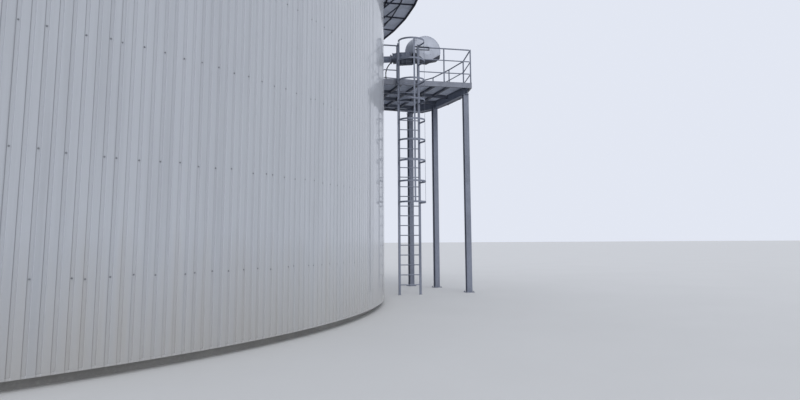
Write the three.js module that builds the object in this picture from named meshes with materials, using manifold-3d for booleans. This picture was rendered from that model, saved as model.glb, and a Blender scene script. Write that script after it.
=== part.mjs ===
// A clad biogas digester with a membrane dome, a rim walkway and a service platform.
// Millimetres, +Z up. The origin is the tank's centre at ground level.
// +X points from there along the middle of the service platform.

import * as THREE from 'three';
import { mergeVertices } from 'three/addons/utils/BufferGeometryUtils.js';
import Module from 'manifold-3d';

const wasm = await Module();
wasm.setup();

// Driving dimensions of the tank
const GAP = 0.3;
const CLADDING_RADIUS = 12060;
const WALL_OUTER_RADIUS = 11900;
const WALL_INNER_RADIUS = 11660;
const SLAB_THICKNESS = 300;
const CLADDING_BOTTOM = 150;
const WALL_TOP = 9560;
const RIM_TOP = 9700;
const RIM_INNER_RADIUS = 11680;

// Driving dimensions of the dome and its port
const DOME_RADIUS = 11880;
const DOME_HEIGHT = 6200;
const DOME_THICKNESS = 40;
const DOME_SIDES = 48;
const DOME_RINGS = 8;
const PORT_RADIUS = 110;
const PORT_HEIGHT = 60;
const PORT_RISE = 900;
const PORT_DIRECTION = -60;

// Driving dimensions of the rim walkway, a ring of straight bays
const RIM_BAY = 5;
const RIM_PHASE = 1;
const SECTOR_COUNT = 4;
const WALKWAY_RADIUS = 13210;
const WALKWAY_BEAM_RADII = [12300, 12750, 13175];
const WALKWAY_BEAM_WIDTH = 50;
const WALKWAY_UNDERSIDE = 8590;
const WALKWAY_BEAM_DEPTH = 40;
const WALKWAY_DECK_THICKNESS = 30;
const BRACKET_WIDTH = 50;
const BRACE_SIZE = 40;
const BRACE_FOOT = 7980;

// Driving dimensions of every railing
const RAIL_SIZE = 40;
const POST_SIZE = 50;
const RAILING_HEIGHT = 1100;
const RIM_KNEE_HEIGHTS = [365, 730];
const KNEE_RAIL_HEIGHTS = [320, 710];
const RAIL_INSET = 5;
const REAR_RAIL_BAYS = 3;
const RAIL_BEHIND_STILE = 50;

// Driving dimensions of the service platform. Its outline starts inside the tank, follows
// the front edge, the outer corners and the rear edge, and ends inside the tank.
const FRONT_DIRECTION = -8.5;
const FRONT_START = 11700;
const FRONT_CORNER = 14990;
const OUTER_CORNERS = [[15145, -1070], [15115, -30], [14997, 1080], [14760, 1630]];
const REAR_START = 11600;
const PLATFORM_DECK_TOP = 6270;
const PLATFORM_DECK_THICKNESS = 40;
const PLATFORM_KERB = 40;
const EDGE_CHANNEL_DEPTH = 160;
const EDGE_CHANNEL_WIDTH = 60;
const STEEL_THICKNESS = 12;
const JOIST_PLACES = [12675, 13190, 13695, 14155];
const JOIST_WIDTH = 60;
const JOIST_DEPTH = 75;
const CROSS_PLACES = [-800, 50, 1000];
const CROSS_WIDTH = 80;
const CROSS_DEPTH = 120;
const END_PLATE_DEPTH = 160;
const MAIN_BEAM_DEPTH = 240;
const MAIN_BEAM_FLANGE = 120;
const MAIN_BEAM_END = 130;

// Driving dimensions of the platform's posts
const COLUMN_WIDTH = 160;
const COLUMN_DEPTH = 152;
const COLUMN_PLACES = { front: [14720, -1970], middle: [14620, 180], rear: [14110, 1170] };
const COLUMN_PLATE_SIZE = 260;
const COLUMN_PLATE_THICKNESS = 15;

// Driving dimensions of the ladder and its safety cage
const LADDER_RADIUS = 12975;
const LADDER_WIDTH = 610;
const LADDER_BACK = 120;
const STILE_WIDTH = 70;
const STILE_THICKNESS = 30;
const RUNG_SIZE = 28;
const RUNG_SPACING = 280;
const RUNG_COUNT = 22;
const STANDOFF_HEIGHT = 60;
const CAGE_TOP_DROP = 35;
const HOOP_SPACING = 587.5;
const HOOP_COUNT = 9;
const LOWER_HOOPS = 4;
const HOOP_BAR_HEIGHT = 50;
const HOOP_BAR_THICKNESS = 10;
const HOOP_RADIUS = 380;
const HOOP_CENTRE_OUT = 370;
const STRAP_ANGLE = 80;
const STRAP_HALF_ANGLE = 3.8;

// Driving dimensions of the drive unit on the platform
const DRIVE_DIRECTION = -28;
const DRIVE_ENTRY_Y = -145;
const DRIVE_WIDTH = 300;
const SHAFT_TUBE_RADIUS = 103;
const SHAFT_TUBE_HEIGHT = 7340;
const WALL_FLANGE_RADIUS = 230;
const WALL_FLANGE_THICKNESS = 25;
const COUPLING_START = 900;
const COUPLING_BOTTOM = 7205;
const COUPLING_TOP = 7510;
const GEARBOX_START = 1035;
const GEARBOX_END = 1580;
const GEARBOX_BOTTOM = 7143;
const GEARBOX_TOP = 7525;
const DRUM_X = 13803;
const DRUM_HEIGHT = 7565;
const DRUM_FRONT_RADIUS = 475;
const DRUM_BACK_RADIUS = 570;
const DRUM_FLOOR = 7250;
const DRUM_FLOOR_HALF = 130;
const DRUM_FRONT = -1150;
const DRUM_BACK = -670;
const DRUM_SIDES = 48;
const COVER_THICKNESS = 20;
const CRADLE_TOP = 7454;
const CRADLE_HALF_WIDTH = 445;
const CRADLE_BASE = 7143;
const CRADLE_UNDERSIDE = [
  [-CRADLE_HALF_WIDTH, 7250], [-400, CRADLE_BASE], [45, CRADLE_BASE], [157, 7205], [375, 7262],
  [434, 7325],
];
const CRADLE_LIP = 30;
const CRADLE_BACK = -950;
const LEG_SIZE = 60;
const LEG_PLACES = [[12975, -735, GEARBOX_BOTTOM], [13520, -1080, CRADLE_BASE]];
const CONDUIT_RADIUS = 18;
const CONDUIT_SIDES = 8;
const CONDUIT_STEPS = 8;
const CONDUIT_SIDEWAYS = -120;
const CONDUIT_START = 7225;
// The conduit's bends: their radius, and the slopes below level between which they turn
const CONDUIT_BENDS = [[500, 35, 90], [1000, 90, 105], [1000, 105, 90]];

// Colours seen on the real surfaces
const finishes = {
  concrete: { color: 0x9b9a94, roughness: 0.9, metalness: 0.0 },
  cladding: { color: 0xc9cdc6, roughness: 0.45, metalness: 0.2 },
  rim: { color: 0x2e3136, roughness: 0.6, metalness: 0.3 },
  membrane: { color: 0x8f8f88, roughness: 0.7, metalness: 0.0 },
  steel: { color: 0x7d8084, roughness: 0.5, metalness: 0.7 },
  grating: { color: 0x6b6e72, roughness: 0.6, metalness: 0.6 },
  drum: { color: 0xb4b9bb, roughness: 0.4, metalness: 0.1 },
  drive: { color: 0x3a3d3c, roughness: 0.55, metalness: 0.3 },
  rubber: { color: 0x24262a, roughness: 0.7, metalness: 0.0 },
};

const radians = THREE.MathUtils.degToRad;
const digester = new THREE.Group();

// Helpers that turn shapes into closed solids

function closed(geometry) {
  const bare = geometry.clone();
  bare.deleteAttribute('normal');
  bare.deleteAttribute('uv');
  const merged = mergeVertices(bare);
  const points = merged.attributes.position;
  const index = merged.index.array;
  let volume = 0;
  for (let i = 0; i < index.length; i += 3) {
    const a = new THREE.Vector3().fromBufferAttribute(points, index[i]);
    const b = new THREE.Vector3().fromBufferAttribute(points, index[i + 1]);
    const c = new THREE.Vector3().fromBufferAttribute(points, index[i + 2]);
    volume += a.dot(b.cross(c));
  }
  if (volume < 0) {
    for (let i = 0; i < index.length; i += 3) {
      [index[i], index[i + 1]] = [index[i + 1], index[i]];
    }
  }
  merged.computeVertexNormals();
  return merged;
}

function toManifold(geometry) {
  const solid = closed(geometry);
  const vertProperties = new Float32Array(solid.attributes.position.array);
  const triVerts = new Uint32Array(solid.index.array);
  return new wasm.Manifold(new wasm.Mesh({ numProp: 3, vertProperties, triVerts }));
}

function fromManifold(result) {
  const mesh = result.getMesh();
  const geometry = new THREE.BufferGeometry();
  geometry.setAttribute('position', new THREE.BufferAttribute(mesh.vertProperties, 3));
  geometry.setIndex(new THREE.BufferAttribute(mesh.triVerts, 1));
  return geometry;
}

function fuse(geometries) {
  let result = toManifold(geometries[0]);
  for (const geometry of geometries.slice(1)) {
    result = result.add(toManifold(geometry));
  }
  return fromManifold(result);
}

function cut(geometry, tool) {
  return fromManifold(toManifold(geometry).subtract(toManifold(tool)));
}

function common(geometry, other) {
  return fromManifold(toManifold(geometry).intersect(toManifold(other)));
}

function addPiece(name, geometry, finish) {
  const material = new THREE.MeshStandardMaterial(finishes[finish]);
  const mesh = new THREE.Mesh(closed(geometry), material);
  mesh.name = name;
  digester.add(mesh);
}

// A solid on a grid of lines: the filled cells are solid from side 0 to side 1,
// and place(u, v, side) says where each point of the grid lies.
function lattice(uLines, vLines, isFilled, place) {
  const positions = [];
  const at = (i, j, side) => place(uLines[i], vLines[j], side);
  const quad = (a, b, c, d) => {
    for (const point of [a, b, c, a, c, d]) {
      positions.push(point.x, point.y, point.z);
    }
  };
  const filled = (i, j) => {
    const inside = i >= 0 && j >= 0 && i < uLines.length - 1 && j < vLines.length - 1;
    return inside && isFilled(i, j);
  };
  for (let i = 0; i < uLines.length - 1; i++) {
    for (let j = 0; j < vLines.length - 1; j++) {
      if (!filled(i, j)) continue;
      quad(at(i, j, 0), at(i, j + 1, 0), at(i + 1, j + 1, 0), at(i + 1, j, 0));
      quad(at(i, j, 1), at(i + 1, j, 1), at(i + 1, j + 1, 1), at(i, j + 1, 1));
      if (!filled(i - 1, j)) quad(at(i, j, 0), at(i, j, 1), at(i, j + 1, 1), at(i, j + 1, 0));
      if (!filled(i + 1, j)) {
        quad(at(i + 1, j, 0), at(i + 1, j + 1, 0), at(i + 1, j + 1, 1), at(i + 1, j, 1));
      }
      if (!filled(i, j - 1)) quad(at(i, j, 0), at(i + 1, j, 0), at(i + 1, j, 1), at(i, j, 1));
      if (!filled(i, j + 1)) {
        quad(at(i, j + 1, 0), at(i, j + 1, 1), at(i + 1, j + 1, 1), at(i + 1, j + 1, 0));
      }
    }
  }
  const geometry = new THREE.BufferGeometry();
  geometry.setAttribute('position', new THREE.Float32BufferAttribute(positions, 3));
  return geometry;
}

// A point on a ring of straight bays whose corners lie at the given radius
function bayPoint(ring, cornerRadius, degrees, z) {
  const fromCorner = (((degrees - ring.phase) % ring.bay) + ring.bay) % ring.bay;
  const fromMiddle = radians(fromCorner - ring.bay / 2);
  const radius = (cornerRadius * Math.cos(radians(ring.bay / 2))) / Math.cos(fromMiddle);
  const angle = radians(degrees);
  return new THREE.Vector3(radius * Math.cos(angle), radius * Math.sin(angle), z);
}

// A point beside one corner of such a ring, measured across the corner in millimetres
function besideCorner(ring, cornerRadius, cornerDegrees, across, z) {
  const angle = radians(cornerDegrees);
  const radius = cornerRadius - Math.abs(across) * Math.tan(radians(ring.bay / 2));
  return new THREE.Vector3(
    radius * Math.cos(angle) - across * Math.sin(angle),
    radius * Math.sin(angle) + across * Math.cos(angle),
    z,
  );
}

// The angles of a ring's corners from one angle to another, with both ends
function bayAngles(ring, start, end) {
  const angles = [start];
  const firstCorner = Math.floor((start - ring.phase) / ring.bay + 1e-6) + 1;
  for (let k = firstCorner; ring.phase + k * ring.bay < end - 1e-6; k++) {
    angles.push(ring.phase + k * ring.bay);
  }
  angles.push(end);
  return angles;
}

// A curved strip of a ring between two radii, two heights and two angles
function ringStrip(ring, inner, outer, bottom, top, start, end) {
  const place = (degrees, radius, side) => bayPoint(ring, radius, degrees, side ? top : bottom);
  return lattice(bayAngles(ring, start, end), [inner, outer], () => true, place);
}

// Grid lines along a ring sector with one bar across it at each corner
function barLines(ring, start, corners, barWidth) {
  const lines = [{ angle: start }];
  for (const corner of corners) {
    lines.push({ corner, across: -barWidth / 2 }, { corner, across: barWidth / 2 });
  }
  return lines;
}

function barPoint(ring, line, radius, z) {
  if (line.corner === undefined) return bayPoint(ring, radius, line.angle, z);
  return besideCorner(ring, radius, line.corner, line.across, z);
}

function block(x0, x1, y0, y1, z0, z1) {
  const box = new THREE.BoxGeometry(x1 - x0, y1 - y0, z1 - z0);
  box.translate((x0 + x1) / 2, (y0 + y1) / 2, (z0 + z1) / 2);
  return box;
}

// An upright prism over a plan outline
function prism(outline, bottom, top) {
  const shape = new THREE.Shape(outline.map(([x, y]) => new THREE.Vector2(x, y)));
  const solid = new THREE.ExtrudeGeometry(shape, { depth: top - bottom, bevelEnabled: false });
  solid.translate(0, 0, bottom);
  return solid;
}

// A point beside corner k of a plan path: offset is to the left of the path, with mitred
// corners, and along is how far past the corner it lies, or before it where negative
function pathPoint(path, k, offset, along, z) {
  const direction = (segment) => {
    const [x0, y0] = path[segment];
    const [x1, y1] = path[segment + 1];
    return new THREE.Vector2(x1 - x0, y1 - y0).normalize();
  };
  const before = direction(Math.max(k - 1, 0));
  const after = direction(Math.min(k, path.length - 2));
  const mitre = offset / (1 + before.dot(after));
  const way = along < 0 ? before : after;
  return new THREE.Vector3(
    path[k][0] - mitre * (before.y + after.y) + way.x * along,
    path[k][1] + mitre * (before.x + after.x) + way.y * along,
    z,
  );
}

// A bar with mitred corners along a plan path, between two offsets and two heights
function pathBar(path, near, far, bottom, top) {
  const corners = path.map((point, k) => k);
  const place = (k, offset, side) => pathPoint(path, k, offset, 0, side ? top : bottom);
  return lattice(corners, [near, far], () => true, place);
}

// A cylinder whose axis runs along X or Y, between two places on that axis
function lyingCylinder(axis, radius, from, to, sides) {
  const cylinder = new THREE.CylinderGeometry(radius, radius, to - from, sides);
  if (axis === 'x') {
    cylinder.rotateZ(Math.PI / 2);
    cylinder.translate((from + to) / 2, 0, 0);
  } else {
    cylinder.translate(0, (from + to) / 2, 0);
  }
  return cylinder;
}

// The tank

const rimRing = { bay: RIM_BAY, phase: RIM_PHASE };
const rimSides = 360 / RIM_BAY;
const sectorAngle = 360 / SECTOR_COUNT;
const sectorStart = (sector) => RIM_PHASE - RIM_BAY / 2 + sector * sectorAngle;
const splice = THREE.MathUtils.radToDeg(GAP / 2 / WALL_INNER_RADIUS);

function turned(profile, sides, phase) {
  const points = profile.map(([radius, height]) => new THREE.Vector2(radius, height));
  const lathe = new THREE.LatheGeometry(points, sides);
  lathe.rotateX(Math.PI / 2);
  lathe.rotateZ(radians(phase));
  return lathe;
}

// The space of the tank, which cuts off whatever runs up to its facets
function tankSpace() {
  const radius = CLADDING_RADIUS + GAP;
  return turned([[0, 0], [radius, 0], [radius, WALL_TOP], [0, WALL_TOP]], rimSides, RIM_PHASE);
}

function addTank() {
  const slab = turned(
    [[0, 0], [WALL_OUTER_RADIUS, 0], [WALL_OUTER_RADIUS, SLAB_THICKNESS], [0, SLAB_THICKNESS]],
    rimSides,
    RIM_PHASE,
  );
  addPiece('floor_slab', slab, 'concrete');
  for (let sector = 0; sector < SECTOR_COUNT; sector++) {
    const start = sectorStart(sector) + splice;
    const end = sectorStart(sector + 1) - splice;
    const wallBottom = SLAB_THICKNESS + GAP;
    const wall = ringStrip(
      rimRing, WALL_INNER_RADIUS, WALL_OUTER_RADIUS, wallBottom, WALL_TOP, start, end,
    );
    addPiece(`tank_wall_${sector + 1}`, wall, 'concrete');
    const inner = WALL_OUTER_RADIUS + GAP;
    const cladding = ringStrip(
      rimRing, inner, CLADDING_RADIUS, CLADDING_BOTTOM, WALL_TOP, start, end,
    );
    addPiece(`wall_cladding_${sector + 1}`, cladding, 'cladding');
  }
}

function addRim() {
  const bottom = WALL_TOP + GAP;
  const profile = [
    [RIM_INNER_RADIUS, bottom],
    [CLADDING_RADIUS + 20, bottom],
    [CLADDING_RADIUS + 20, RIM_TOP],
    [RIM_INNER_RADIUS, RIM_TOP],
    [RIM_INNER_RADIUS, bottom],
  ];
  addPiece('rim_clamp_ring', turned(profile, rimSides, RIM_PHASE), 'rim');
}

// The dome is a cap of a sphere

const domeSphereRadius = (DOME_RADIUS ** 2 + DOME_HEIGHT ** 2) / (2 * DOME_HEIGHT);
const domeBase = RIM_TOP + GAP;
const domeSphereCentre = domeBase + DOME_HEIGHT - domeSphereRadius;

function capProfile(radius) {
  const rimAngle = Math.acos((domeBase - domeSphereCentre) / radius);
  const points = [];
  for (let ring = 0; ring <= DOME_RINGS; ring++) {
    const angle = (rimAngle * ring) / DOME_RINGS;
    points.push([radius * Math.sin(angle), domeSphereCentre + radius * Math.cos(angle)]);
  }
  points[0][0] = 0;
  return points;
}

function addDome() {
  const outer = capProfile(domeSphereRadius);
  const inner = capProfile(domeSphereRadius - DOME_THICKNESS);
  addPiece('dome_membrane', turned([...outer, ...inner.reverse()], DOME_SIDES, 0), 'membrane');

  // The port's foot is cut to the flat faces of the faceted dome
  const height = domeBase + PORT_RISE;
  const tilt = Math.acos((height - domeSphereCentre) / domeSphereRadius);
  const port = new THREE.CylinderGeometry(PORT_RADIUS, PORT_RADIUS, 2 * PORT_HEIGHT, 16);
  port.rotateX(Math.PI / 2);
  port.translate(0, 0, domeSphereRadius);
  port.rotateY(tilt);
  port.translate(0, 0, domeSphereCentre);
  port.rotateZ(radians(PORT_DIRECTION));
  const underPort = capProfile(domeSphereRadius + GAP);
  addPiece('dome_port', cut(port, turned([...underPort, [0, domeBase]], DOME_SIDES, 0)), 'rim');
}

// The height lines of a railing above its deck: rails lie between every second pair
function railLines(postFoot, deckTop, kneeHeights) {
  const heights = [postFoot];
  for (const knee of kneeHeights) {
    heights.push(deckTop + knee - RAIL_SIZE / 2, deckTop + knee + RAIL_SIZE / 2);
  }
  heights.push(deckTop + RAILING_HEIGHT - RAIL_SIZE, deckTop + RAILING_HEIGHT);
  return heights;
}

// The rim walkway

// A brace under a bracket, from the wall up to the walkway's middle ring, at the given angle
function kneeBrace(corner) {
  const wall = CLADDING_RADIUS + GAP;
  const [, ringRadius] = WALKWAY_BEAM_RADII;
  const top = WALKWAY_UNDERSIDE + WALKWAY_BEAM_DEPTH / 2;
  const half = BRACE_SIZE * Math.SQRT1_2;
  const side = new THREE.Shape([
    new THREE.Vector2(wall, BRACE_FOOT - half),
    new THREE.Vector2(ringRadius + half, top),
    new THREE.Vector2(ringRadius - half, top),
    new THREE.Vector2(wall, BRACE_FOOT + half),
  ]);
  const brace = new THREE.ExtrudeGeometry(side, { depth: BRACE_SIZE, bevelEnabled: false });
  brace.rotateX(Math.PI / 2);
  brace.translate(0, BRACE_SIZE / 2, 0);
  brace.rotateZ(radians(corner));
  return brace;
}

function addWalkway() {
  const frameTop = WALKWAY_UNDERSIDE + WALKWAY_BEAM_DEPTH;
  const deckTop = frameTop + GAP + WALKWAY_DECK_THICKNESS;
  const inner = CLADDING_RADIUS + GAP;
  const bracketEnd = inner + (BRACKET_WIDTH / 2) * Math.tan(radians(RIM_BAY / 2));
  const halfBeam = WALKWAY_BEAM_WIDTH / 2;
  const beamEdges = WALKWAY_BEAM_RADII.flatMap((radius) => [radius - halfBeam, radius + halfBeam]);
  const frameRadii = [bracketEnd, ...beamEdges];
  const railOuter = WALKWAY_RADIUS - 15;
  const railHeights = railLines(deckTop + GAP, deckTop, RIM_KNEE_HEIGHTS);
  const oddLine = (column, row) => column % 2 === 1 || row % 2 === 1;
  for (let sector = 0; sector < SECTOR_COUNT; sector++) {
    const start = sectorStart(sector) + splice;
    const end = sectorStart(sector + 1) - splice;
    const corners = bayAngles(rimRing, start, end).slice(1, -1);
    const frameLines = [...barLines(rimRing, start, corners, BRACKET_WIDTH), { angle: end }];
    const framePlace = (line, radius, side) =>
      barPoint(rimRing, line, radius, side ? frameTop : WALKWAY_UNDERSIDE);
    const frame = lattice(frameLines, frameRadii, oddLine, framePlace);
    const braces = corners.map(kneeBrace);
    addPiece(`walkway_frame_${sector + 1}`, fuse([frame, ...braces]), 'steel');

    const deck = ringStrip(rimRing, inner, WALKWAY_RADIUS, frameTop + GAP, deckTop, start, end);
    addPiece(`walkway_deck_${sector + 1}`, deck, 'grating');

    const postLines = [...barLines(rimRing, start, corners, POST_SIZE), { angle: end }];
    const railPlace = (line, z, side) =>
      barPoint(rimRing, line, side ? railOuter : railOuter - RAIL_SIZE, z);
    const railing = lattice(postLines, railHeights, oddLine, railPlace);
    addPiece(`walkway_railing_${sector + 1}`, railing, 'steel');
  }
}

// The service platform

const channelTop = PLATFORM_DECK_TOP + PLATFORM_KERB;
const channelBottom = channelTop - EDGE_CHANNEL_DEPTH;
const joistTop = PLATFORM_DECK_TOP - PLATFORM_DECK_THICKNESS - GAP;
const mainBeamBottom = joistTop - MAIN_BEAM_DEPTH;
const platformRailTop = PLATFORM_DECK_TOP + RAILING_HEIGHT;

function onFrontEdge(radius) {
  return [radius * Math.cos(radians(FRONT_DIRECTION)), radius * Math.sin(radians(FRONT_DIRECTION))];
}

const rearEdge = OUTER_CORNERS.at(-1)[1];
const outerPath = [onFrontEdge(FRONT_CORNER), ...OUTER_CORNERS];
const platformOutline = [onFrontEdge(FRONT_START), ...outerPath, [REAR_START, rearEdge]];

function insetOutline(inset) {
  return platformOutline.map((point, k) => {
    const moved = pathPoint(platformOutline, k, inset, 0, 0);
    return [moved.x, moved.y];
  });
}

// The main beam runs over the posts and a little beyond the first and the last one
function mainBeamPath() {
  const { front, middle, rear } = COLUMN_PLACES;
  const posts = [front, middle, rear];
  const first = pathPoint(posts, 0, 0, -MAIN_BEAM_END, 0);
  const last = pathPoint(posts, 2, 0, MAIN_BEAM_END, 0);
  return [[first.x, first.y], middle, [last.x, last.y]];
}

function addPlatformFrame() {
  const beamPath = mainBeamPath();
  const halfFlange = MAIN_BEAM_FLANGE / 2;
  const halfWeb = STEEL_THICKNESS / 2;
  const members = [
    pathBar(platformOutline, 0, EDGE_CHANNEL_WIDTH, channelBottom, joistTop),
    pathBar(beamPath, -halfFlange, halfFlange, mainBeamBottom, mainBeamBottom + STEEL_THICKNESS),
    pathBar(beamPath, -halfWeb, halfWeb, mainBeamBottom, joistTop),
    pathBar(beamPath, -halfFlange, halfFlange, joistTop - STEEL_THICKNESS, joistTop),
  ];
  const frontEnd = -FRONT_CORNER;
  for (const x of JOIST_PLACES) {
    const half = JOIST_WIDTH / 2;
    members.push(block(x - half, x + half, frontEnd, rearEdge, joistTop - JOIST_DEPTH, joistTop));
  }
  for (const y of CROSS_PLACES) {
    const half = CROSS_WIDTH / 2;
    const face = Math.sqrt(CLADDING_RADIUS ** 2 - y ** 2);
    const far = OUTER_CORNERS[0][0];
    members.push(
      block(REAR_START, far, y - half, y + half, joistTop - CROSS_DEPTH, joistTop),
      block(
        REAR_START, face + STEEL_THICKNESS, y - CROSS_WIDTH, y + CROSS_WIDTH,
        joistTop - END_PLATE_DEPTH, joistTop,
      ),
    );
  }
  const inside = common(fuse(members), prism(platformOutline, 0, joistTop));
  const kerb = pathBar(platformOutline, 0, STEEL_THICKNESS, channelBottom, channelTop);
  addPiece('platform_frame', cut(fuse([inside, kerb]), tankSpace()), 'steel');
}

function addPlatformDeck() {
  const bottom = PLATFORM_DECK_TOP - PLATFORM_DECK_THICKNESS;
  const deck = prism(insetOutline(STEEL_THICKNESS + GAP), bottom, PLATFORM_DECK_TOP);
  addPiece('platform_deck', cut(deck, tankSpace()), 'grating');
}

function addColumns() {
  const top = mainBeamBottom - GAP;
  const flangeOffset = (COLUMN_DEPTH - STEEL_THICKNESS) / 2;
  for (const [name, [x, y]] of Object.entries(COLUMN_PLACES)) {
    const bar = (width, depth, offset, z0, z1) =>
      block(-width / 2, width / 2, offset - depth / 2, offset + depth / 2, z0, z1);
    const column = fuse([
      bar(COLUMN_PLATE_SIZE, COLUMN_PLATE_SIZE, 0, 0, COLUMN_PLATE_THICKNESS),
      bar(COLUMN_WIDTH, STEEL_THICKNESS, -flangeOffset, 0, top),
      bar(COLUMN_WIDTH, STEEL_THICKNESS, flangeOffset, 0, top),
      bar(STEEL_THICKNESS, COLUMN_DEPTH, 0, 0, top),
      bar(COLUMN_WIDTH, COLUMN_DEPTH + 20, 0, top - COLUMN_PLATE_THICKNESS, top),
    ]);
    column.rotateZ(Math.atan2(y, x));
    column.translate(x, y, 0);
    addPiece(`platform_post_${name}`, column, 'steel');
  }
}

// A railing along a plan path. Its lines say where, past a corner of the path, each post
// starts and ends, and isPost says which spaces between the lines are posts.
function addRailing(name, path, lines, isPost) {
  const heights = railLines(channelTop + GAP, PLATFORM_DECK_TOP, KNEE_RAIL_HEIGHTS);
  const place = ([corner, along], z, side) =>
    pathPoint(path, corner, side ? RAIL_INSET : RAIL_INSET + RAIL_SIZE, along, z);
  const filled = (column, row) => isPost(column) || row % 2 === 1;
  addPiece(name, lattice(lines, heights, filled, place), 'steel');
}

function addPlatformRailings() {
  const last = outerPath.length - 1;
  const outerLines = outerPath.flatMap((point, k) => {
    const start = k === 0 ? 0 : k === last ? -POST_SIZE : -POST_SIZE / 2;
    return [[k, start], [k, start + POST_SIZE]];
  });
  const evenColumn = (column) => column % 2 === 0;
  addRailing('platform_railing_outer', outerPath, outerLines, evenColumn);

  const atCorner = POST_SIZE + 10;
  const besideLadder = LADDER_WIDTH / 2 + STILE_WIDTH / 2 - RAIL_BEHIND_STILE;
  const frontStart = LADDER_RADIUS + besideLadder;
  const frontPath = [onFrontEdge(frontStart), onFrontEdge(FRONT_CORNER - atCorner)];
  const frontLength = FRONT_CORNER - atCorner - frontStart;
  const middlePost = frontLength / 2;
  addRailing(
    'platform_railing_front', frontPath,
    [[0, 0], [0, POST_SIZE], [0, middlePost], [0, middlePost + POST_SIZE], [1, 0]], evenColumn,
  );

  const wallSidePath = [
    onFrontEdge(CLADDING_RADIUS + 10), onFrontEdge(LADDER_RADIUS - besideLadder),
  ];
  addRailing(
    'platform_railing_wall_side', wallSidePath,
    [[0, 0], [1, -POST_SIZE], [1, 0]], (column) => column === 1,
  );

  const wallAtRear = Math.sqrt(CLADDING_RADIUS ** 2 - rearEdge ** 2) + 20;
  const rearPath = [[OUTER_CORNERS.at(-1)[0] - atCorner, rearEdge], [wallAtRear, rearEdge]];
  const rearStep = (rearPath[0][0] - wallAtRear - POST_SIZE) / REAR_RAIL_BAYS;
  const rearLines = [[0, 0]];
  for (let bay = 1; bay <= REAR_RAIL_BAYS; bay++) {
    rearLines.push([0, bay * rearStep], [0, bay * rearStep + POST_SIZE]);
  }
  addRailing('platform_railing_rear', rearPath, rearLines, (column) => column % 2 === 1);
}

// The ladder stands against the platform's front edge, with its cage away from the platform

const ladderFace = -LADDER_BACK - STILE_THICKNESS;

function ladderPoint(along, out, z) {
  const point = new THREE.Vector3(LADDER_RADIUS + along, out, z);
  return point.applyAxisAngle(new THREE.Vector3(0, 0, 1), radians(FRONT_DIRECTION));
}

function addLadder() {
  const half = LADDER_WIDTH / 2;
  const heights = [0];
  for (let rung = 1; rung <= RUNG_COUNT; rung++) {
    heights.push(rung * RUNG_SPACING - RUNG_SIZE / 2, rung * RUNG_SPACING + RUNG_SIZE / 2);
  }
  heights.push(platformRailTop);
  const across = [-half, half].flatMap((middle) => [middle - STILE_WIDTH / 2, middle + STILE_WIDTH / 2]);
  const rails = lattice(
    across, heights, (column, row) => column !== 1 || row % 2 === 1,
    (along, z, side) => ladderPoint(along, side ? -LADDER_BACK : ladderFace, z),
  );
  const standoffs = [-half, half].map((along) => {
    const radius = LADDER_RADIUS + along;
    const middle = (channelTop + channelBottom) / 2;
    const standoff = block(
      radius - STILE_WIDTH / 2 + 5, radius + STILE_WIDTH / 2 - 5, -LADDER_BACK - 5, -GAP,
      middle - STANDOFF_HEIGHT / 2, middle + STANDOFF_HEIGHT / 2,
    );
    standoff.rotateZ(radians(FRONT_DIRECTION));
    return standoff;
  });
  addPiece('ladder', fuse([rails, ...standoffs]), 'steel');
}

// The cage's hoops bend round a circle and run back to the stiles in straight ends. The cage
// comes in two lengths, which meet above the lower one's top hoop.
function addCage() {
  const stileAngle = 180 - THREE.MathUtils.radToDeg(Math.atan2(LADDER_WIDTH / 2, HOOP_CENTRE_OUT));
  const stileReach = Math.hypot(LADDER_WIDTH / 2, HOOP_CENTRE_OUT) - HOOP_BAR_THICKNESS;
  const bendAngle = 105;
  const reach = (degrees) => {
    const past = Math.max(0, Math.abs(degrees) - bendAngle) / (stileAngle - bendAngle);
    return HOOP_RADIUS + past * (stileReach - HOOP_RADIUS);
  };
  const strapLow = STRAP_ANGLE - STRAP_HALF_ANGLE;
  const strapHigh = STRAP_ANGLE + STRAP_HALF_ANGLE;
  const facet = (strapLow - STRAP_HALF_ANGLE) / 3;
  const oneSide = [
    STRAP_HALF_ANGLE, STRAP_HALF_ANGLE + facet, strapLow - facet, strapLow, strapHigh, bendAngle,
    stileAngle,
  ];
  const angles = [...oneSide.map((degrees) => -degrees).reverse(), ...oneSide];
  const strapColumns = [2, 6, 10];
  const cageTop = platformRailTop - CAGE_TOP_DROP;
  const heights = [];
  for (let hoop = HOOP_COUNT - 1; hoop >= 0; hoop--) {
    const middle = cageTop - HOOP_BAR_HEIGHT / 2 - hoop * HOOP_SPACING;
    heights.push(middle - HOOP_BAR_HEIGHT / 2, middle + HOOP_BAR_HEIGHT / 2);
  }
  const place = (degrees, z, side) => {
    const radius = reach(degrees) + (side ? HOOP_BAR_THICKNESS : 0);
    const along = radius * Math.sin(radians(degrees));
    const out = HOOP_CENTRE_OUT + radius * Math.cos(radians(degrees));
    return ladderPoint(along, ladderFace - GAP - out, z);
  };
  const isBar = (column, row) => strapColumns.includes(column) || row % 2 === 0;
  const seam = 2 * LOWER_HOOPS;
  const lowerHeights = [...heights.slice(0, seam), heights[seam] - GAP];
  addPiece('ladder_cage_upper', lattice(angles, heights.slice(seam), isBar, place), 'steel');
  addPiece('ladder_cage_lower', lattice(angles, lowerHeights, isBar, place), 'steel');
}

// The drive unit: a tube out of the tank wall, a coupling, a gearbox and a drum in a cradle

// A bar along Y whose section is given by its X and Z places
function alongY(section, front, back) {
  const bar = prism(section.map(([x, z]) => [x, -z]), front, back);
  bar.rotateX(-Math.PI / 2);
  return bar;
}

// The drum rests on a flat seat whose sides slope up. The seat's section runs out to a given
// distance from the drum's middle, and is closed below by the given points, from left to right.
const seatSlope = (CRADLE_TOP - DRUM_FLOOR) / (CRADLE_HALF_WIDTH - DRUM_FLOOR_HALF);

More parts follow.
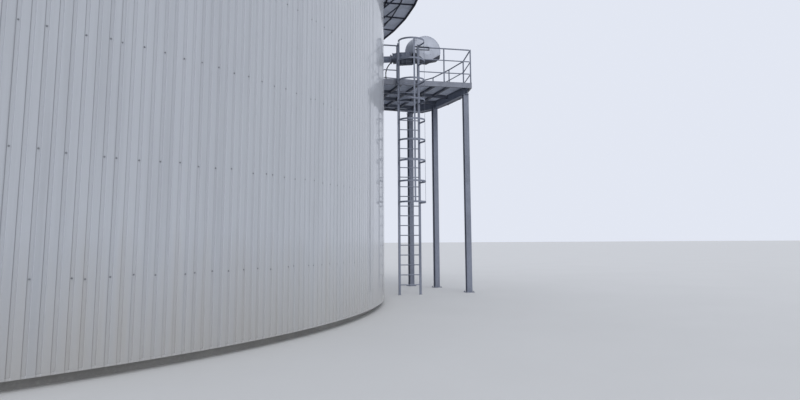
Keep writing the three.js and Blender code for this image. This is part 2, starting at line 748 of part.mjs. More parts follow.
function seatSection(reach, drop, underside) {
  const edge = DRUM_FLOOR + (reach - DRUM_FLOOR_HALF) * seatSlope - drop;
  const floor = DRUM_FLOOR - drop;
  const seat = [[reach, edge], [DRUM_FLOOR_HALF, floor], [-DRUM_FLOOR_HALF, floor], [-reach, edge]];
  return [...seat, ...underside].map(([across, z]) => [DRUM_X + across, z]);
}

// The drum widens towards its back and is cut off by its seat. This is the part of it
// between two places along its axis, with some room round it if asked for.
function drumPart(front, back, room) {
  const slope = (DRUM_BACK_RADIUS - DRUM_FRONT_RADIUS) / (DRUM_BACK - DRUM_FRONT);
  const radiusAt = (y) => DRUM_FRONT_RADIUS + slope * (y - DRUM_FRONT) + room;
  const cone = new THREE.CylinderGeometry(radiusAt(back), radiusAt(front), back - front, DRUM_SIDES);
  cone.translate(DRUM_X, (front + back) / 2, DRUM_HEIGHT);
  const reach = 2 * DRUM_BACK_RADIUS;
  const seat = seatSection(reach, room, [[-reach, DRUM_FLOOR - reach], [reach, DRUM_FLOOR - reach]]);
  return cut(cone, alongY(seat, front - 1, back + 1));
}

// The shaft's axis leaves the tank at a slant. Shapes built along X, from the place where it
// leaves the wall, are turned into its direction.
const driveEntryX = Math.sqrt(CLADDING_RADIUS ** 2 - DRIVE_ENTRY_Y ** 2);

function alongDrive(geometry) {
  geometry.rotateZ(radians(DRIVE_DIRECTION));
  return geometry.translate(driveEntryX, DRIVE_ENTRY_Y, 0);
}

function addDrive() {
  const flange = lyingCylinder(
    'x', WALL_FLANGE_RADIUS, driveEntryX - 60, driveEntryX + WALL_FLANGE_THICKNESS, 24,
  ).translate(0, DRIVE_ENTRY_Y, SHAFT_TUBE_HEIGHT);
  const insideWall = -2 * SHAFT_TUBE_RADIUS;
  const pipe = lyingCylinder('x', SHAFT_TUBE_RADIUS, insideWall, COUPLING_START - GAP, 24);
  pipe.translate(0, 0, SHAFT_TUBE_HEIGHT);
  addPiece('shaft_tube', cut(fuse([flange, alongDrive(pipe)]), tankSpace()), 'drive');

  const half = DRIVE_WIDTH / 2;
  const coupling = block(
    COUPLING_START, GEARBOX_START - GAP, -half, half, COUPLING_BOTTOM, COUPLING_TOP,
  );
  addPiece('shaft_coupling', alongDrive(coupling), 'drive');

  // The gearbox ends against the drum's side and the cradle
  const housing = block(GEARBOX_START, GEARBOX_END, -half, half, GEARBOX_BOTTOM, GEARBOX_TOP);
  const cradleSpace = block(
    DRUM_X - CRADLE_HALF_WIDTH - GAP, DRUM_X, DRUM_FRONT - CRADLE_LIP, CRADLE_BACK + GAP,
    GEARBOX_BOTTOM - 1, DRUM_HEIGHT,
  );
  const beforeDrum = cut(alongDrive(housing), drumPart(DRUM_FRONT, 0, GAP));
  addPiece('gearbox', cut(beforeDrum, cradleSpace), 'drive');
}

function addDrum() {
  const seam = DRUM_FRONT + COVER_THICKNESS;
  addPiece('drum', drumPart(seam + GAP, DRUM_BACK, 0), 'drum');
  addPiece('drum_cover', drumPart(DRUM_FRONT, seam, 0), 'drum');
}

// The cradle under the drum's front is flat below on the gearbox's side and rises beyond it
function addCradle() {
  const section = seatSection(CRADLE_HALF_WIDTH, GAP, CRADLE_UNDERSIDE);
  addPiece('drum_cradle', alongY(section, DRUM_FRONT - CRADLE_LIP, CRADLE_BACK), 'drive');
}

function addDriveLegs() {
  const half = LEG_SIZE / 2;
  LEG_PLACES.forEach(([x, y, top], k) => {
    const leg = block(
      x - half, x + half, y - half, y + half, PLATFORM_DECK_TOP + GAP, top - GAP,
    );
    addPiece(`drive_leg_${k + 1}`, leg, 'drive');
  });
}

// The conduit leaves the coupling downwards and ends upright on the deck
function conduitRoute() {
  const inside = 15;
  let away = inside * Math.cos(radians(CONDUIT_BENDS[0][1]));
  let z = CONDUIT_START + inside * Math.sin(radians(CONDUIT_BENDS[0][1]));
  const route = [[away, z]];
  for (const [radius, from, to] of CONDUIT_BENDS) {
    const turn = (to - from) / CONDUIT_STEPS;
    const length = radius * radians(Math.abs(turn));
    for (let step = 0; step < CONDUIT_STEPS; step++) {
      const slope = radians(from + (step + 0.5) * turn);
      away -= length * Math.cos(slope);
      z -= length * Math.sin(slope);
      route.push([away, z]);
    }
  }
  route.at(-1)[1] = PLATFORM_DECK_TOP + 2 * GAP;
  return route;
}

function addConduit() {
  const points = conduitRoute().map(([away, z]) => {
    const point = new THREE.Vector3(COUPLING_START + away, CONDUIT_SIDEWAYS, z);
    point.applyAxisAngle(new THREE.Vector3(0, 0, 1), radians(DRIVE_DIRECTION));
    return point.add(new THREE.Vector3(driveEntryX, DRIVE_ENTRY_Y, 0));
  });
  const curve = new THREE.CatmullRomCurve3(points);
  const section = new THREE.Shape();
  for (let side = 0; side < CONDUIT_SIDES; side++) {
    const angle = (2 * Math.PI * side) / CONDUIT_SIDES;
    const x = CONDUIT_RADIUS * Math.cos(angle);
    const y = CONDUIT_RADIUS * Math.sin(angle);
    if (side === 0) section.moveTo(x, y);
    else section.lineTo(x, y);
  }
  const conduit = new THREE.ExtrudeGeometry(section, { steps: 3 * CONDUIT_STEPS, extrudePath: curve });
  const half = DRIVE_WIDTH / 2;
  const coupling = block(
    COUPLING_START - GAP, GEARBOX_START, -half, half, COUPLING_BOTTOM, COUPLING_TOP,
  );
  addPiece('drive_conduit', cut(conduit, alongDrive(coupling)), 'rubber');
}

addTank();
addRim();
addDome();
addWalkway();
addPlatformFrame();
addPlatformDeck();
addColumns();
addPlatformRailings();
addLadder();
addCage();
addDrive();
addDrum();
addCradle();
addDriveLegs();
addConduit();

export default digester;
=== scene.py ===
"""Looks of a clad biogas digester with a membrane dome, a rim walkway and a service platform.

Metres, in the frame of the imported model: +Z up, origin at the tank's centre on the ground,
+X along the middle of the service platform.
"""

import random
from math import acos, asin, atan2, ceil, cos, hypot, pi, radians, sin, sqrt

import bmesh
import bpy
from mathutils import Matrix, Vector


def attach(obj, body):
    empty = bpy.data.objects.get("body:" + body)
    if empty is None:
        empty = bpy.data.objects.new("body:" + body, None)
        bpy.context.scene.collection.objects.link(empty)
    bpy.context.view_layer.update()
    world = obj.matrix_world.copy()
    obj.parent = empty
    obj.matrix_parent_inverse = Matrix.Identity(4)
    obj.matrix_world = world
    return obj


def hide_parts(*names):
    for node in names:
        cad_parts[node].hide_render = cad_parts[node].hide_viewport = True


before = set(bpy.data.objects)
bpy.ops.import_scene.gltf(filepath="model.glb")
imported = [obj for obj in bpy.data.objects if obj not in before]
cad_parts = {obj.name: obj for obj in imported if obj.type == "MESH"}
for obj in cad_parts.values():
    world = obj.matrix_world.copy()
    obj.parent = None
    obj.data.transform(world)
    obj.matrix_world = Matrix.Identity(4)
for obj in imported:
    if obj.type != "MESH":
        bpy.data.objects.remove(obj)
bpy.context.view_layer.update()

# Driving dimensions of the tank, as in the solids
CLADDING_RADIUS = 12.060
CLADDING_BOTTOM = 0.150
WALL_TOP = 9.560
DOME_RADIUS = 11.880
DOME_HEIGHT = 6.200
DOME_BASE = 9.7003
DOME_SEGMENTS = 192
DOME_STEPS = 36
GORES = 32
SEAM_HALF = 0.035
PORT_DIRECTION = radians(-60)
PORT_RISE = 0.900
RING_SIDES = 288
CLAMP_BOLTS = 144

# The profiled wall sheets: narrow grooves round the tank, eight to a sheet, with the screws in them
GROOVE_COUNT = 552
GROOVE_STEP = 2 * pi / GROOVE_COUNT
GROOVE_ZERO = radians(-66.262)
SHEET_GROOVES = 8
FLAT_RADIUS = 12.0575
GROOVE_RADIUS = 12.0435
GROOVE_TOP_HALF = 0.0250
GROOVE_FLOOR_HALF = 0.0170
LAP_STEP = 0.0014
LAP_EDGE = 0.031
LINER_RADIUS = 11.930
SCREW_ROWS = [1.12, 2.51, 3.90, 5.29, 6.68, 8.07]
SCREW_SEED = 387
MOVED_SHARE = 0.15

# The clamp round the dome's foot
CLAMP_INNER = 11.690
CLAMP_OUTER = 12.078
CLAMP_BOTTOM = WALL_TOP + 0.001
HOSE_RADIUS = 0.038

# The rim walkway, a ring of straight bays with corners at these angles
RIM_BAYS = 72
RIM_PHASE = radians(1)
WALKWAY_RADIUS = 13.210
WALKWAY_INNER = 12.075
WALKWAY_UNDERSIDE = 8.590
WALKWAY_FRAME_TOP = 8.630
WALKWAY_RING_RADII = [12.300, 12.750, 13.175]
WALKWAY_DECK_BOTTOM = 8.6303
WALKWAY_DECK_TOP = 8.6603
BRACE_FOOT = 7.980
BRACE_TOP_RADIUS = 12.750
RIM_RAIL_RADIUS = 13.175
RIM_KNEES = [0.365, 0.730]
RAILING_HEIGHT = 1.100
TUBE = 0.021
KNEE_TUBE = 0.0165

# Open gratings
GRATING_PITCH = 0.034
BAR_THICKNESS = 0.004
ROD_SPACING = 0.100
FIRST_BAR = -2.180
FIRST_ROD = 12.150

# The service platform
FRONT_DIRECTION = radians(-8.5)
PLATFORM_CORNERS = [(15.145, -1.070), (15.115, -0.030), (14.997, 1.080), (14.760, 1.630)]
PLATFORM_REAR = PLATFORM_CORNERS[-1][1]
FRONT_CORNER = 14.990
INSIDE_WALL = 11.600
DECK_BOTTOM = 6.230
DECK_TOP = 6.270
KERB_TOP = 6.3103
KNEES = [0.320, 0.710]
RAIL_INSET = 0.025
RAIL_BEHIND_STILE = 0.050
POST_FROM_END = 0.025
RAIL_CORNER_GAP = 0.060
COLUMNS = [(14.720, -1.970), (14.620, 0.180), (14.110, 1.170)]
CHANNEL_BOTTOM = 6.150
CHANNEL_WIDTH = 0.060
JOIST_TOP = 6.2297
JOIST_WIDTH = 0.060
JOIST_DEPTH = 0.072
JOIST_PLACES = [12.675, 13.190, 13.695, 14.155]
CROSS_DEPTH = 0.100
CROSS_PLACES = [-0.800, 0.050, 1.000]
MAIN_BEAM_BOTTOM = 5.9897
MAIN_BEAM_FLANGE_TOP = 6.0017
MAIN_BEAM_HEAD = 6.2180
MAIN_BEAM_END = 0.130
STEEL_PLATE = 0.012

# The ladder and its cage
LADDER_RADIUS = 12.975
LADDER_HALF = 0.305
LADDER_BACK = -0.120
LADDER_FACE = -0.150
STILE_HALF = 0.035
RUNG_SPACING = 0.280
RUNG_COUNT = 22
RUNG_RADIUS = 0.014
LADDER_TOP = 7.370
LADDER_BRACKET = 6.230
CAGE_TOP = 7.335
HOOP_SPACING = 0.5875
HOOP_COUNT = 9
HOOP_HEIGHT = 0.050
HOOP_THICKNESS = 0.010
HOOP_RADIUS = 0.380
HOOP_OUT = 0.370
HOOP_BEND = radians(105)
HOOP_STEPS = 28
STRAP_ANGLES = [radians(-80), 0.0, radians(80)]
STRAP_HALF = 0.025

# The drive unit. Its shaft leaves the wall at a slant, and places along it count from there.
DRIVE_DIRECTION = radians(-28)
DRIVE_ENTRY_Y = -0.145
PIPE_HEIGHT = 7.340
PIPE_RADIUS = 0.103
DRIVE_HALF = 0.150
COUPLING_START = 0.900
COUPLING_BOTTOM = 7.205
COUPLING_TOP = 7.510
GEARBOX_START = 1.035
GEARBOX_END = 1.580
GEARBOX_BOTTOM = 7.143
GEARBOX_TOP = 7.525
GEARBOX_SPLIT = 7.318
GEARBOX_RIBS = [GEARBOX_START + 0.001, 1.190, 1.330]
# Height below which the drive paint is darkened: painted shade of the housings' lower half
SHADE_LINE = 7.325
# Places of the round side covers, the plug and the bolts: along the drive, and heights
COUPLING_COVER = (0.968, 7.355)
COUPLING_BOLT_HEIGHTS = [7.230, 7.360, 7.485]
GEARBOX_COVER = (1.200, 7.420)
GEARBOX_PLUG = (1.285, 7.225)
GEARBOX_BOLTS = [1.095, 1.195, 1.285]
DRUM_X = 13.803
DRUM_HEIGHT = 7.565
DRUM_FRONT = -1.150
DRUM_BACK = -0.670
DRUM_FRONT_RADIUS = 0.475
DRUM_BACK_RADIUS = 0.570
DRUM_BEADS = [0.17, 0.31]
ABOVE_DRIVE = 7.700
BELOW_DRIVE = 7.000
SEAT_FLOOR = 7.250
SEAT_FLOOR_HALF = 0.130
SEAT_HALF = 0.445
SEAT_TOP = 7.454
SEAT_SLOPE = (SEAT_TOP - SEAT_FLOOR) / (SEAT_HALF - SEAT_FLOOR_HALF)
CRADLE_LEFT = 13.3577
CRADLE_BACK = -0.950
CRADLE_LIP = 0.030
CRADLE_UNDERSIDE = [
    (-0.445, 7.250), (-0.400, 7.143), (0.045, 7.143), (0.157, 7.205), (0.375, 7.262), (0.434, 7.325),
]
CRADLE_BOLTS = [
    (-0.36, 7.20), (-0.22, 7.19), (-0.08, 7.19), (0.06, 7.195), (0.20, 7.245), (0.33, 7.300),
]
CONDUIT_START = 7.225
CONDUIT_SIDEWAYS = -0.120
CONDUIT_RADIUS = 0.018
# The conduit's bends: radius, and the slopes below level between which it turns
CONDUIT_BENDS = [(0.500, 35, 90), (1.000, 90, 105), (1.000, 105, 90)]

# The camera of the photograph, worked out from the grooves and screws of the wall
CAMERA_PLACE = (6.534, -18.252, 1.500)
CAMERA_HEADING = radians(20.3)
CAMERA_TILT = radians(7.06)
CAMERA_ROLL = radians(0.34)
CAMERA_LENS = 27.0
CAMERA_SHIFT = -0.0408
FLOOR_RADIUS = 900

UP = Vector((0, 0, 1))


# Places, angles and sections

def polar(radius, angle, z):
    return (radius * cos(angle), radius * sin(angle), z)


def around(count, offset=0.0):
    """Evenly spaced angles of a full turn."""
    return [2 * pi * (k + offset) / count for k in range(count)]


def stops(start, end, step):
    """Places from start up to, but not at, the end."""
    return [start + step * k for k in range(ceil((end - start) / step))]


def turned_by(angle):
    return Matrix.Rotation(angle, 4, "Z")


def facing(place, normal):
    """A matrix that puts Z along the normal, at the place."""
    rotation = UP.rotation_difference(Vector(normal).normalized())
    return Matrix.Translation(Vector(place)) @ rotation.to_matrix().to_4x4()


def ways_at(path, closed=False):
    """The unit directions into and out of each point of a path."""
    points = [Vector(p) for p in path]
    ways = [(end - start).normalized() for start, end in zip(points, points[1:] + points[:1])]
    first, last = (ways[-1], ways[-1]) if closed else (ways[0], ways[-2])
    return zip([first, *ways[:-1]], [*ways[:-1], last])


def circle(radius, sides):
    return [polar(radius, angle, 0)[:2] for angle in around(sides)]


def flat_section(half, low, high):
    return [(-half, low), (half, low), (half, high), (-half, high)]


def i_section(half, web, low, foot, head, high):
    """An I-beam's section. The flanges reach from low to foot and from head to high."""
    return [
        (-half, low), (half, low), (half, foot), (web, foot), (web, head), (half, head),
        (half, high), (-half, high), (-half, head), (-web, head), (-web, foot), (-half, foot),
    ]


def rounded_rectangle(half_width, half_height, corner, steps):
    section = []
    for quarter, (sx, sy) in enumerate([(1, 1), (-1, 1), (-1, -1), (1, -1)]):
        for step in range(steps + 1):
            u, v, _ = polar(corner, pi / 2 * (quarter + step / steps), 0)
            section.append((sx * (half_width - corner) + u, sy * (half_height - corner) + v))
    return section


# Pieces are gathered as lists of points and faces

class Form:
    """Points and faces of one piece, built up from skins over rings of points."""

    def __init__(self):
        self.points = []
        self.faces = []

    def rings(self, rings, closed=False, matrix=None, capped=True):
        """A skin over rings of points, with flat caps unless the rings close on themselves."""
        count = len(rings[0])
        start = len(self.points)
        last = start + (len(rings) - 1) * count
        for i in range(len(rings) if closed else len(rings) - 1):
            a = start + i * count
            b = start + (i + 1) % len(rings) * count
            for j in range(count):
                k = (j + 1) % count
                self.faces.append((a + j, a + k, b + k, b + j))
        if capped and not closed:
            self.faces.append(range(start, start + count)[::-1])
            self.faces.append(range(last, last + count))
        points = [Vector(p) for ring in rings for p in ring]
        self.points.extend([matrix @ p for p in points] if matrix else points)

    def block(self, low, high, matrix=None):
        corners = [(low[0], low[1]), (high[0], low[1]), (high[0], high[1]), (low[0], high[1])]
        self.rings([[(x, y, z) for x, y in corners] for z in (low[2], high[2])], matrix=matrix)

    def turned(self, profile, sides, matrix=None):
        """A solid of revolution about Z with flat ends, from pairs of radius and height."""
        rings = [[polar(radius, angle, z) for angle in around(sides)] for radius, z in profile]
        self.rings(rings, matrix=matrix)

    def round_tank(self, section):
        """A ring round the tank with a section of radii and heights."""
        angles = around(RING_SIDES)
        self.rings([[polar(radius, angle, z) for radius, z in section] for angle in angles], True)

    def tube(self, path, radius, sides=10, closed=False):
        self.sweep(path, circle(radius, sides), closed)

    def sweep(self, path, section, closed=False):
        """A section swept along a path: its first axis lies level and its second one up."""
        rings = []
        for point, (into, out) in zip(path, ways_at(path, closed)):
            along = (into + out).normalized()
            side = along.cross(UP)
            if side.length < 1e-4:
                side = Vector((1, 0, 0))
            side.normalize()
            lift = side.cross(along)
            widen = 1 / max(0.5, sqrt(max(0.0, (1 + into.dot(out)) / 2)))
            bend = (out - into).normalized()
            side += bend * side.dot(bend) * (widen - 1)
            rings.append([Vector(point) + side * u + lift * v for u, v in section])
        self.rings(rings, closed)

    def hexagon_bolt(self, place, normal, size, height, washer=1.6):
        matrix = facing(place, normal)
        self.turned([(size * washer, 0), (size * washer, height * 0.2)], 10, matrix)
        self.turned([(size, height * 0.2), (size, height * 0.9), (size * 0.8, height)], 6, matrix)

    def bolt_circle(self, matrix, radius, z, count, size, height, offset=0.0, way=1):
        """Bolts in a circle about the matrix's Z axis, with their heads on the way side of it."""
        normal = matrix.to_3x3() @ Vector((0, 0, way))
        for angle in around(count, offset):
            self.hexagon_bolt(matrix @ Vector(polar(radius, angle, z)), normal, size, height)


def mesh_of(name, form):
    """A mesh of a form, welded and with its faces turned outwards."""
    mesh = bpy.data.meshes.new(name)
    mesh.from_pydata(form.points, [], form.faces)
    work = bmesh.new()
    work.from_mesh(mesh)
    bmesh.ops.remove_doubles(work, verts=work.verts, dist=1e-6)
    bmesh.ops.recalc_face_normals(work, faces=work.faces)
    work.to_mesh(mesh)
    work.free()
    return mesh


def placed(name, data):
    item = bpy.data.objects.new(name, data)
    bpy.context.scene.collection.objects.link(item)
    return item


def piece(name, form, material, stands_for=(), sharp=35):
    """Makes one object of a form, tells the frame about it and returns it."""
    mesh = mesh_of(name, form)
    mesh.polygons.foreach_set("use_smooth", [True] * len(mesh.polygons))
    mesh.set_sharp_from_angle(angle=radians(sharp))
    mesh.materials.append(material)
    item = placed(name, mesh)
    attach(item, "root")
    if stands_for:
        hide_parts(*stands_for)
    return item


def trim_with(item, form):
    """Cuts a closed form out of a piece and keeps the result as its mesh."""
    tool = placed("cutter", mesh_of("cutter", form))
    cut = item.modifiers.new("trim", "BOOLEAN")
    cut.object = tool
    cut.operation = "DIFFERENCE"
    cut.solver = "EXACT"
    cut.use_self = True
    bpy.context.view_layer.update()
    graph = bpy.context.evaluated_depsgraph_get()
    result = bpy.data.meshes.new_from_object(item.evaluated_get(graph))
    item.modifiers.clear()
    item.data = result
    bpy.data.objects.remove(tool)


# Materials

class Finish:
    """A node material with helpers for its colour, roughness and bump."""

    def __init__(self, name, colour, roughness, metallic=0.0):
        self.material = bpy.data.materials.new(name)
        self.material.use_nodes = True
        self.tree = self.material.node_tree
        self.shader = self.tree.nodes["Principled BSDF"]
        self.feed({"Base Color": colour, "Roughness": roughness, "Metallic": metallic})
        self.place = self.node("ShaderNodeTexCoord").outputs["Object"]
        self.colour = colour
        self.normal = None

    def feed(self, values, node=None):
        """Sets or joins inputs of a node, or of the shader. A tuple is a colour."""
        for key, value in values.items():
            socket = (node or self.shader).inputs[key]
            if isinstance(value, bpy.types.NodeSocket):
                self.tree.links.new(value, socket)
            else:
                socket.default_value = (*value, 1) if isinstance(value, tuple) else value

    def node(self, kind, values=None, **settings):
        made = self.tree.nodes.new(kind)
        for key, value in settings.items():
            setattr(made, key, value)
        self.feed(values or {}, made)
        return made

    def math(self, operation, a, b=0.0):
        return self.node("ShaderNodeMath", {0: a, 1: b}, operation=operation).outputs[0]

    def apart(self, a, b):
        return self.math("ABSOLUTE", self.math("SUBTRACT", a, b))

    def noise(self, scale, upright=1.0, detail=4, roughness=0.6):
        """Noise in the object's coordinates, drawn out in height where upright is below 1."""
        stretch = Vector((1, 1, upright))
        mapping = self.node("ShaderNodeMapping", {"Vector": self.place, "Scale": stretch})
        values = {
            "Vector": mapping.outputs["Vector"], "Scale": scale, "Detail": detail, "Roughness": roughness,
        }
        return self.node("ShaderNodeTexNoise", values).outputs["Fac"]

    def cells(self, scale):
        made = self.node("ShaderNodeTexVoronoi", {"Vector": self.place, "Scale": scale})
        return made.outputs["Color"], made.outputs["Distance"]

    def span(self, value, low, high, to_low=0.0, to_high=1.0):
        values = {"Value": value, "From Min": low, "From Max": high, "To Min": to_low, "To Max": to_high}
        return self.node("ShaderNodeMapRange", values).outputs["Result"]

    def split(self, vector):
        return self.node("ShaderNodeSeparateXYZ", {0: vector}).outputs

    def tint(self, amount, colour):
        """Lays another colour over the present one by the given amount."""
        values = {"Factor": amount, 6: self.colour, 7: colour}
        self.colour = self.node("ShaderNodeMix", values, data_type="RGBA").outputs[2]
        self.feed({"Base Color": self.colour})

    def patches(self, colour, amount, low, high, *noise):
        """Lays a colour on where a noise is high."""
        self.tint(self.span(self.noise(*noise), low, high, 0.0, amount), colour)

    def rough(self, noise, low, high):
        self.feed({"Roughness": self.span(noise, 0.3, 0.7, low, high)})

    def bump(self, height, distance, strength):
        values = {"Strength": strength, "Distance": distance, "Height": height}
        if self.normal is not None:
            values["Normal"] = self.normal
        self.normal = self.node("ShaderNodeBump", values).outputs["Normal"]
        self.feed({"Normal": self.normal})


def toned(colour, share):
    """A darker or lighter tone of a colour."""
    return tuple(channel * share for channel in colour)


def cladding_finish():
    """Coated sheet: each sheet has its own tone, with rain streaks and dust; one side of each groove gets
    painted shade and the other a painted highlight, and a painted shade line runs along each sheet's lap.
    """
    base = (0.452, 0.470, 0.502)
    finish = Finish("cladding_coated_sheet", base, 0.30)
    x, y, z = finish.split(finish.place)
    turn = finish.math("SUBTRACT", finish.math("ARCTAN2", y, x), GROOVE_ZERO - 0.5 * GROOVE_STEP)
    grooves = finish.math("DIVIDE", turn, GROOVE_STEP)
    sheets = finish.math("DIVIDE", grooves, SHEET_GROOVES)
    number = {"W": finish.math("FLOOR", sheets)}
    drawn = finish.node("ShaderNodeTexWhiteNoise", number, noise_dimensions="1D").outputs["Value"]
    finish.tint(finish.span(drawn, 0, 1, 0.0, 0.35), toned(base, 0.86))
    streaks = finish.noise(5.0, 0.035, 5, 0.65)
    finish.tint(finish.span(streaks, 0.48, 0.74, 0.0, 0.42), toned(base, 0.68))
    blotches = finish.noise(0.35, 0.6, 6, 0.7)
    finish.tint(finish.span(blotches, 0.45, 0.75, 0.0, 0.3), (0.50, 0.53, 0.55))
    # Painted shade on each groove's side at the lower angle, a painted highlight on its side at the higher
    # angle
    beside = finish.math("SUBTRACT", finish.math("FRACT", grooves), 0.5)
    for flank, strength, share in ((-0.155, 0.62, 0.4), (0.155, 0.50, 1.30)):
        finish.tint(finish.span(finish.apart(beside, flank), 0.03, 0.06, strength, 0.0), toned(base, share))
    # Painted shade: a thin dark line along each sheet's lap edge
    from_seam = finish.apart(finish.math("FRACT", sheets), 0.035)
    finish.tint(finish.span(from_seam, 0.0, 0.010, 0.2, 0.0), toned(base, 0.4))
    height = finish.math("ADD", z, finish.span(streaks, 0.3, 0.7, -0.5, 0.5))
    finish.tint(finish.span(height, 0.1, 1.6, 0.5, 0.0), (0.36, 0.33, 0.28))
    finish.rough(blotches, 0.28, 0.42)
    finish.feed({"Coat Weight": 1.0, "Coat Roughness": 0.08})
    finish.bump(finish.noise(2.2, 0.4, 3), 0.006, 0.25)
    return finish.material


def steel_finish(name, base, spread, metallic=0.35, below=None):
    """Hot-dip galvanized steel: spangle, weathered patches, specks of rust, and painted shade on the
    undersides when a below colour is given.
    """
    finish = Finish(name, base, 0.5, metallic)
    spangle, distance = finish.cells(70)
    grey = finish.node("ShaderNodeSeparateColor", {0: spangle}).outputs[0]
    finish.tint(finish.span(grey, 0, 1, 0.0, spread), toned(base, 1.45))
    finish.patches(toned(base, 0.62), 0.6, 0.45, 0.7, 1.7, 0.5, 6, 0.7)
    finish.patches((0.17, 0.10, 0.06), 0.5, 0.63, 0.72, 23, 0.25, 5, 0.7)
    # Painted shade: faces that point down are darkened towards the below colour
    if below:
        normal = finish.node("ShaderNodeNewGeometry").outputs["Normal"]
        finish.tint(finish.span(finish.split(normal)[2], -0.9, -0.3, 0.85, 0.0), below)
    finish.rough(finish.noise(9, detail=5), 0.42, 0.66)
    finish.bump(distance, 0.0006, 0.3)
    finish.bump(finish.noise(40, detail=3), 0.0008, 0.4)
    return finish.material


def paint_finish(name, base, dirt, roughness=0.4, grain=90, shaded_below=None):
    """Machine paint over cast or rolled metal: grime in streaks, chips and a faint grain."""
    finish = Finish(name, base, roughness)
    finish.patches(dirt, 0.6, 0.45, 0.72, 2.6, 0.35, 6, 0.7)
    finish.patches(toned(base, 0.7), 0.35, 0.55, 0.7, 14, 1.0, 6)
    finish.patches((0.20, 0.13, 0.08), 0.8, 0.70, 0.74, 55, 1.0, 3)
    # Painted shade: the paint is darker below the given height
    if shaded_below:
        height = finish.split(finish.place)[2]
        height = finish.math("ADD", height, finish.span(finish.noise(9), 0.3, 0.7, -0.012, 0.012))
        finish.tint(finish.span(height, shaded_below - 0.03, shaded_below, 0.8, 0.0), toned(base, 0.3))
    finish.rough(finish.noise(11), roughness - 0.06, roughness + 0.2)
    finish.bump(finish.noise(grain), 0.0007, 0.5)
    return finish.material


def concrete_finish():
    base = (0.36, 0.35, 0.33)
    finish = Finish("concrete_cast", base, 0.88)
    finish.patches(toned(base, 0.6), 0.6, 0.4, 0.7, 0.8, 0.4, 7, 0.7)
    finish.patches((0.47, 0.46, 0.44), 0.5, 0.5, 0.75, 28, 1.0, 5)
    finish.bump(finish.span(finish.cells(45)[1], 0.0, 0.16), 0.004, 0.5)
    finish.bump(finish.noise(35, detail=6), 0.003, 0.5)
    return finish.material


def membrane_finish():
    """Coated membrane: matte grey-green, rain marks that run down the dome, and a fine weave."""
    base = (0.33, 0.335, 0.32)
    finish = Finish("membrane_coated_fabric", base, 0.62)
    x, y, z = finish.split(finish.place)
    turn = finish.math("MULTIPLY", finish.math("ARCTAN2", y, x), 26)
    flow = finish.node("ShaderNodeCombineXYZ", {0: turn, 1: finish.math("MULTIPLY", z, 0.16)})
    values = {"Vector": flow.outputs[0], "Scale": 1.0, "Detail": 6}
    rays = finish.node("ShaderNodeTexNoise", values, noise_dimensions="2D").outputs["Fac"]
    finish.tint(finish.span(rays, 0.45, 0.75, 0.0, 0.5), toned(base, 0.62))
    finish.patches((0.42, 0.42, 0.39), 0.4, 0.45, 0.7, 0.5, 1.0, 6)
    values = {"Vector": finish.place, "Scale": 60}
    weave = finish.node("ShaderNodeTexWave", values, wave_type="BANDS", bands_direction="DIAGONAL")
    finish.bump(weave.outputs["Fac"], 0.0006, 0.25)
    finish.bump(finish.noise(1.1), 0.02, 0.25)
    return finish.material


def rubber_finish():
    finish = Finish("rubber_black", (0.022, 0.023, 0.026), 0.6)
    finish.patches((0.075, 0.072, 0.068), 0.6, 0.45, 0.7, 16, 1.0, 5)
    finish.rough(finish.noise(22), 0.5, 0.75)
    finish.bump(finish.noise(160, detail=3), 0.0004, 0.5)
    return finish.material


cladding = cladding_finish()
steel = steel_finish("steel_galvanized", (0.225, 0.245, 0.300), 0.35)
# Copies of the galvanized steel with painted shade: the edge channel and main beam darken on their
# undersides, and the joists and walkway steel also have darker base colours
fascia_steel = steel_finish("steel_edge_channel", (0.232, 0.246, 0.290), 0.3, 0.3, (0.07, 0.078, 0.10))
under_steel = steel_finish("steel_beams_shaded_below", (0.215, 0.237, 0.300), 0.3, 0.25, (0.110, 0.122, 0.160))
joist_steel = steel_finish("steel_joists_painted_shade", (0.165, 0.182, 0.228), 0.3, 0.25, (0.036, 0.041, 0.057))
walkway_steel = steel_finish("walkway_steel_painted_shade", (0.044, 0.050, 0.074), 0.3, 0.25, (0.032, 0.037, 0.056))
grating = steel_finish("grating_galvanized", (0.40, 0.43, 0.50), 0.25, 0.1)
drum_paint = paint_finish("drum_light_grey", (0.56, 0.59, 0.665), (0.38, 0.40, 0.44))
drive_paint = paint_finish("drive_dark_grey", (0.180, 0.202, 0.265), (0.20, 0.22, 0.26), 0.5, 60, SHADE_LINE)
# The pipe's paint is lightened as painted light, against the shade of the wall and walkway
pipe_paint = paint_finish("pipe_grey_painted_light", (0.310, 0.340, 0.430), (0.32, 0.34, 0.40), 0.5, 60)
# Near-black seat: partly its dark paint, partly painted shade under the drum
seat_paint = paint_finish("seat_black", (0.018, 0.024, 0.042), (0.045, 0.050, 0.066), 0.5, 60)
rim_paint = paint_finish("rim_dark_coat", (0.045, 0.050, 0.062), (0.10, 0.10, 0.11), 0.5)
screw_paint = paint_finish("screw_heads_grey", (0.24, 0.25, 0.27), (0.16, 0.16, 0.17), 0.45)
concrete = concrete_finish()
membrane = membrane_finish()
rubber = rubber_finish()


def dress(names, material, edge=0.002):
    """Gives CAD nodes a material and slightly rounded edges."""
    for name in names:
        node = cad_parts[name]
        node.data.materials.clear()
        node.data.materials.append(material)
        bevel = node.modifiers.new("soft_edges", "BEVEL")
        bevel.width = edge
        bevel.segments = 1
        bevel.limit_method = "ANGLE"
        bevel.angle_limit = radians(40)


def numbered(stem):
    return [f"{stem}_{k}" for k in range(1, 5)]


dress(["floor_slab", *numbered("tank_wall")], concrete, 0.012)
dress(["platform_post_front", "platform_post_middle", "platform_post_rear"], steel)
dress(["drive_leg_1", "drive_leg_2"], drive_paint)


# The profiled wall

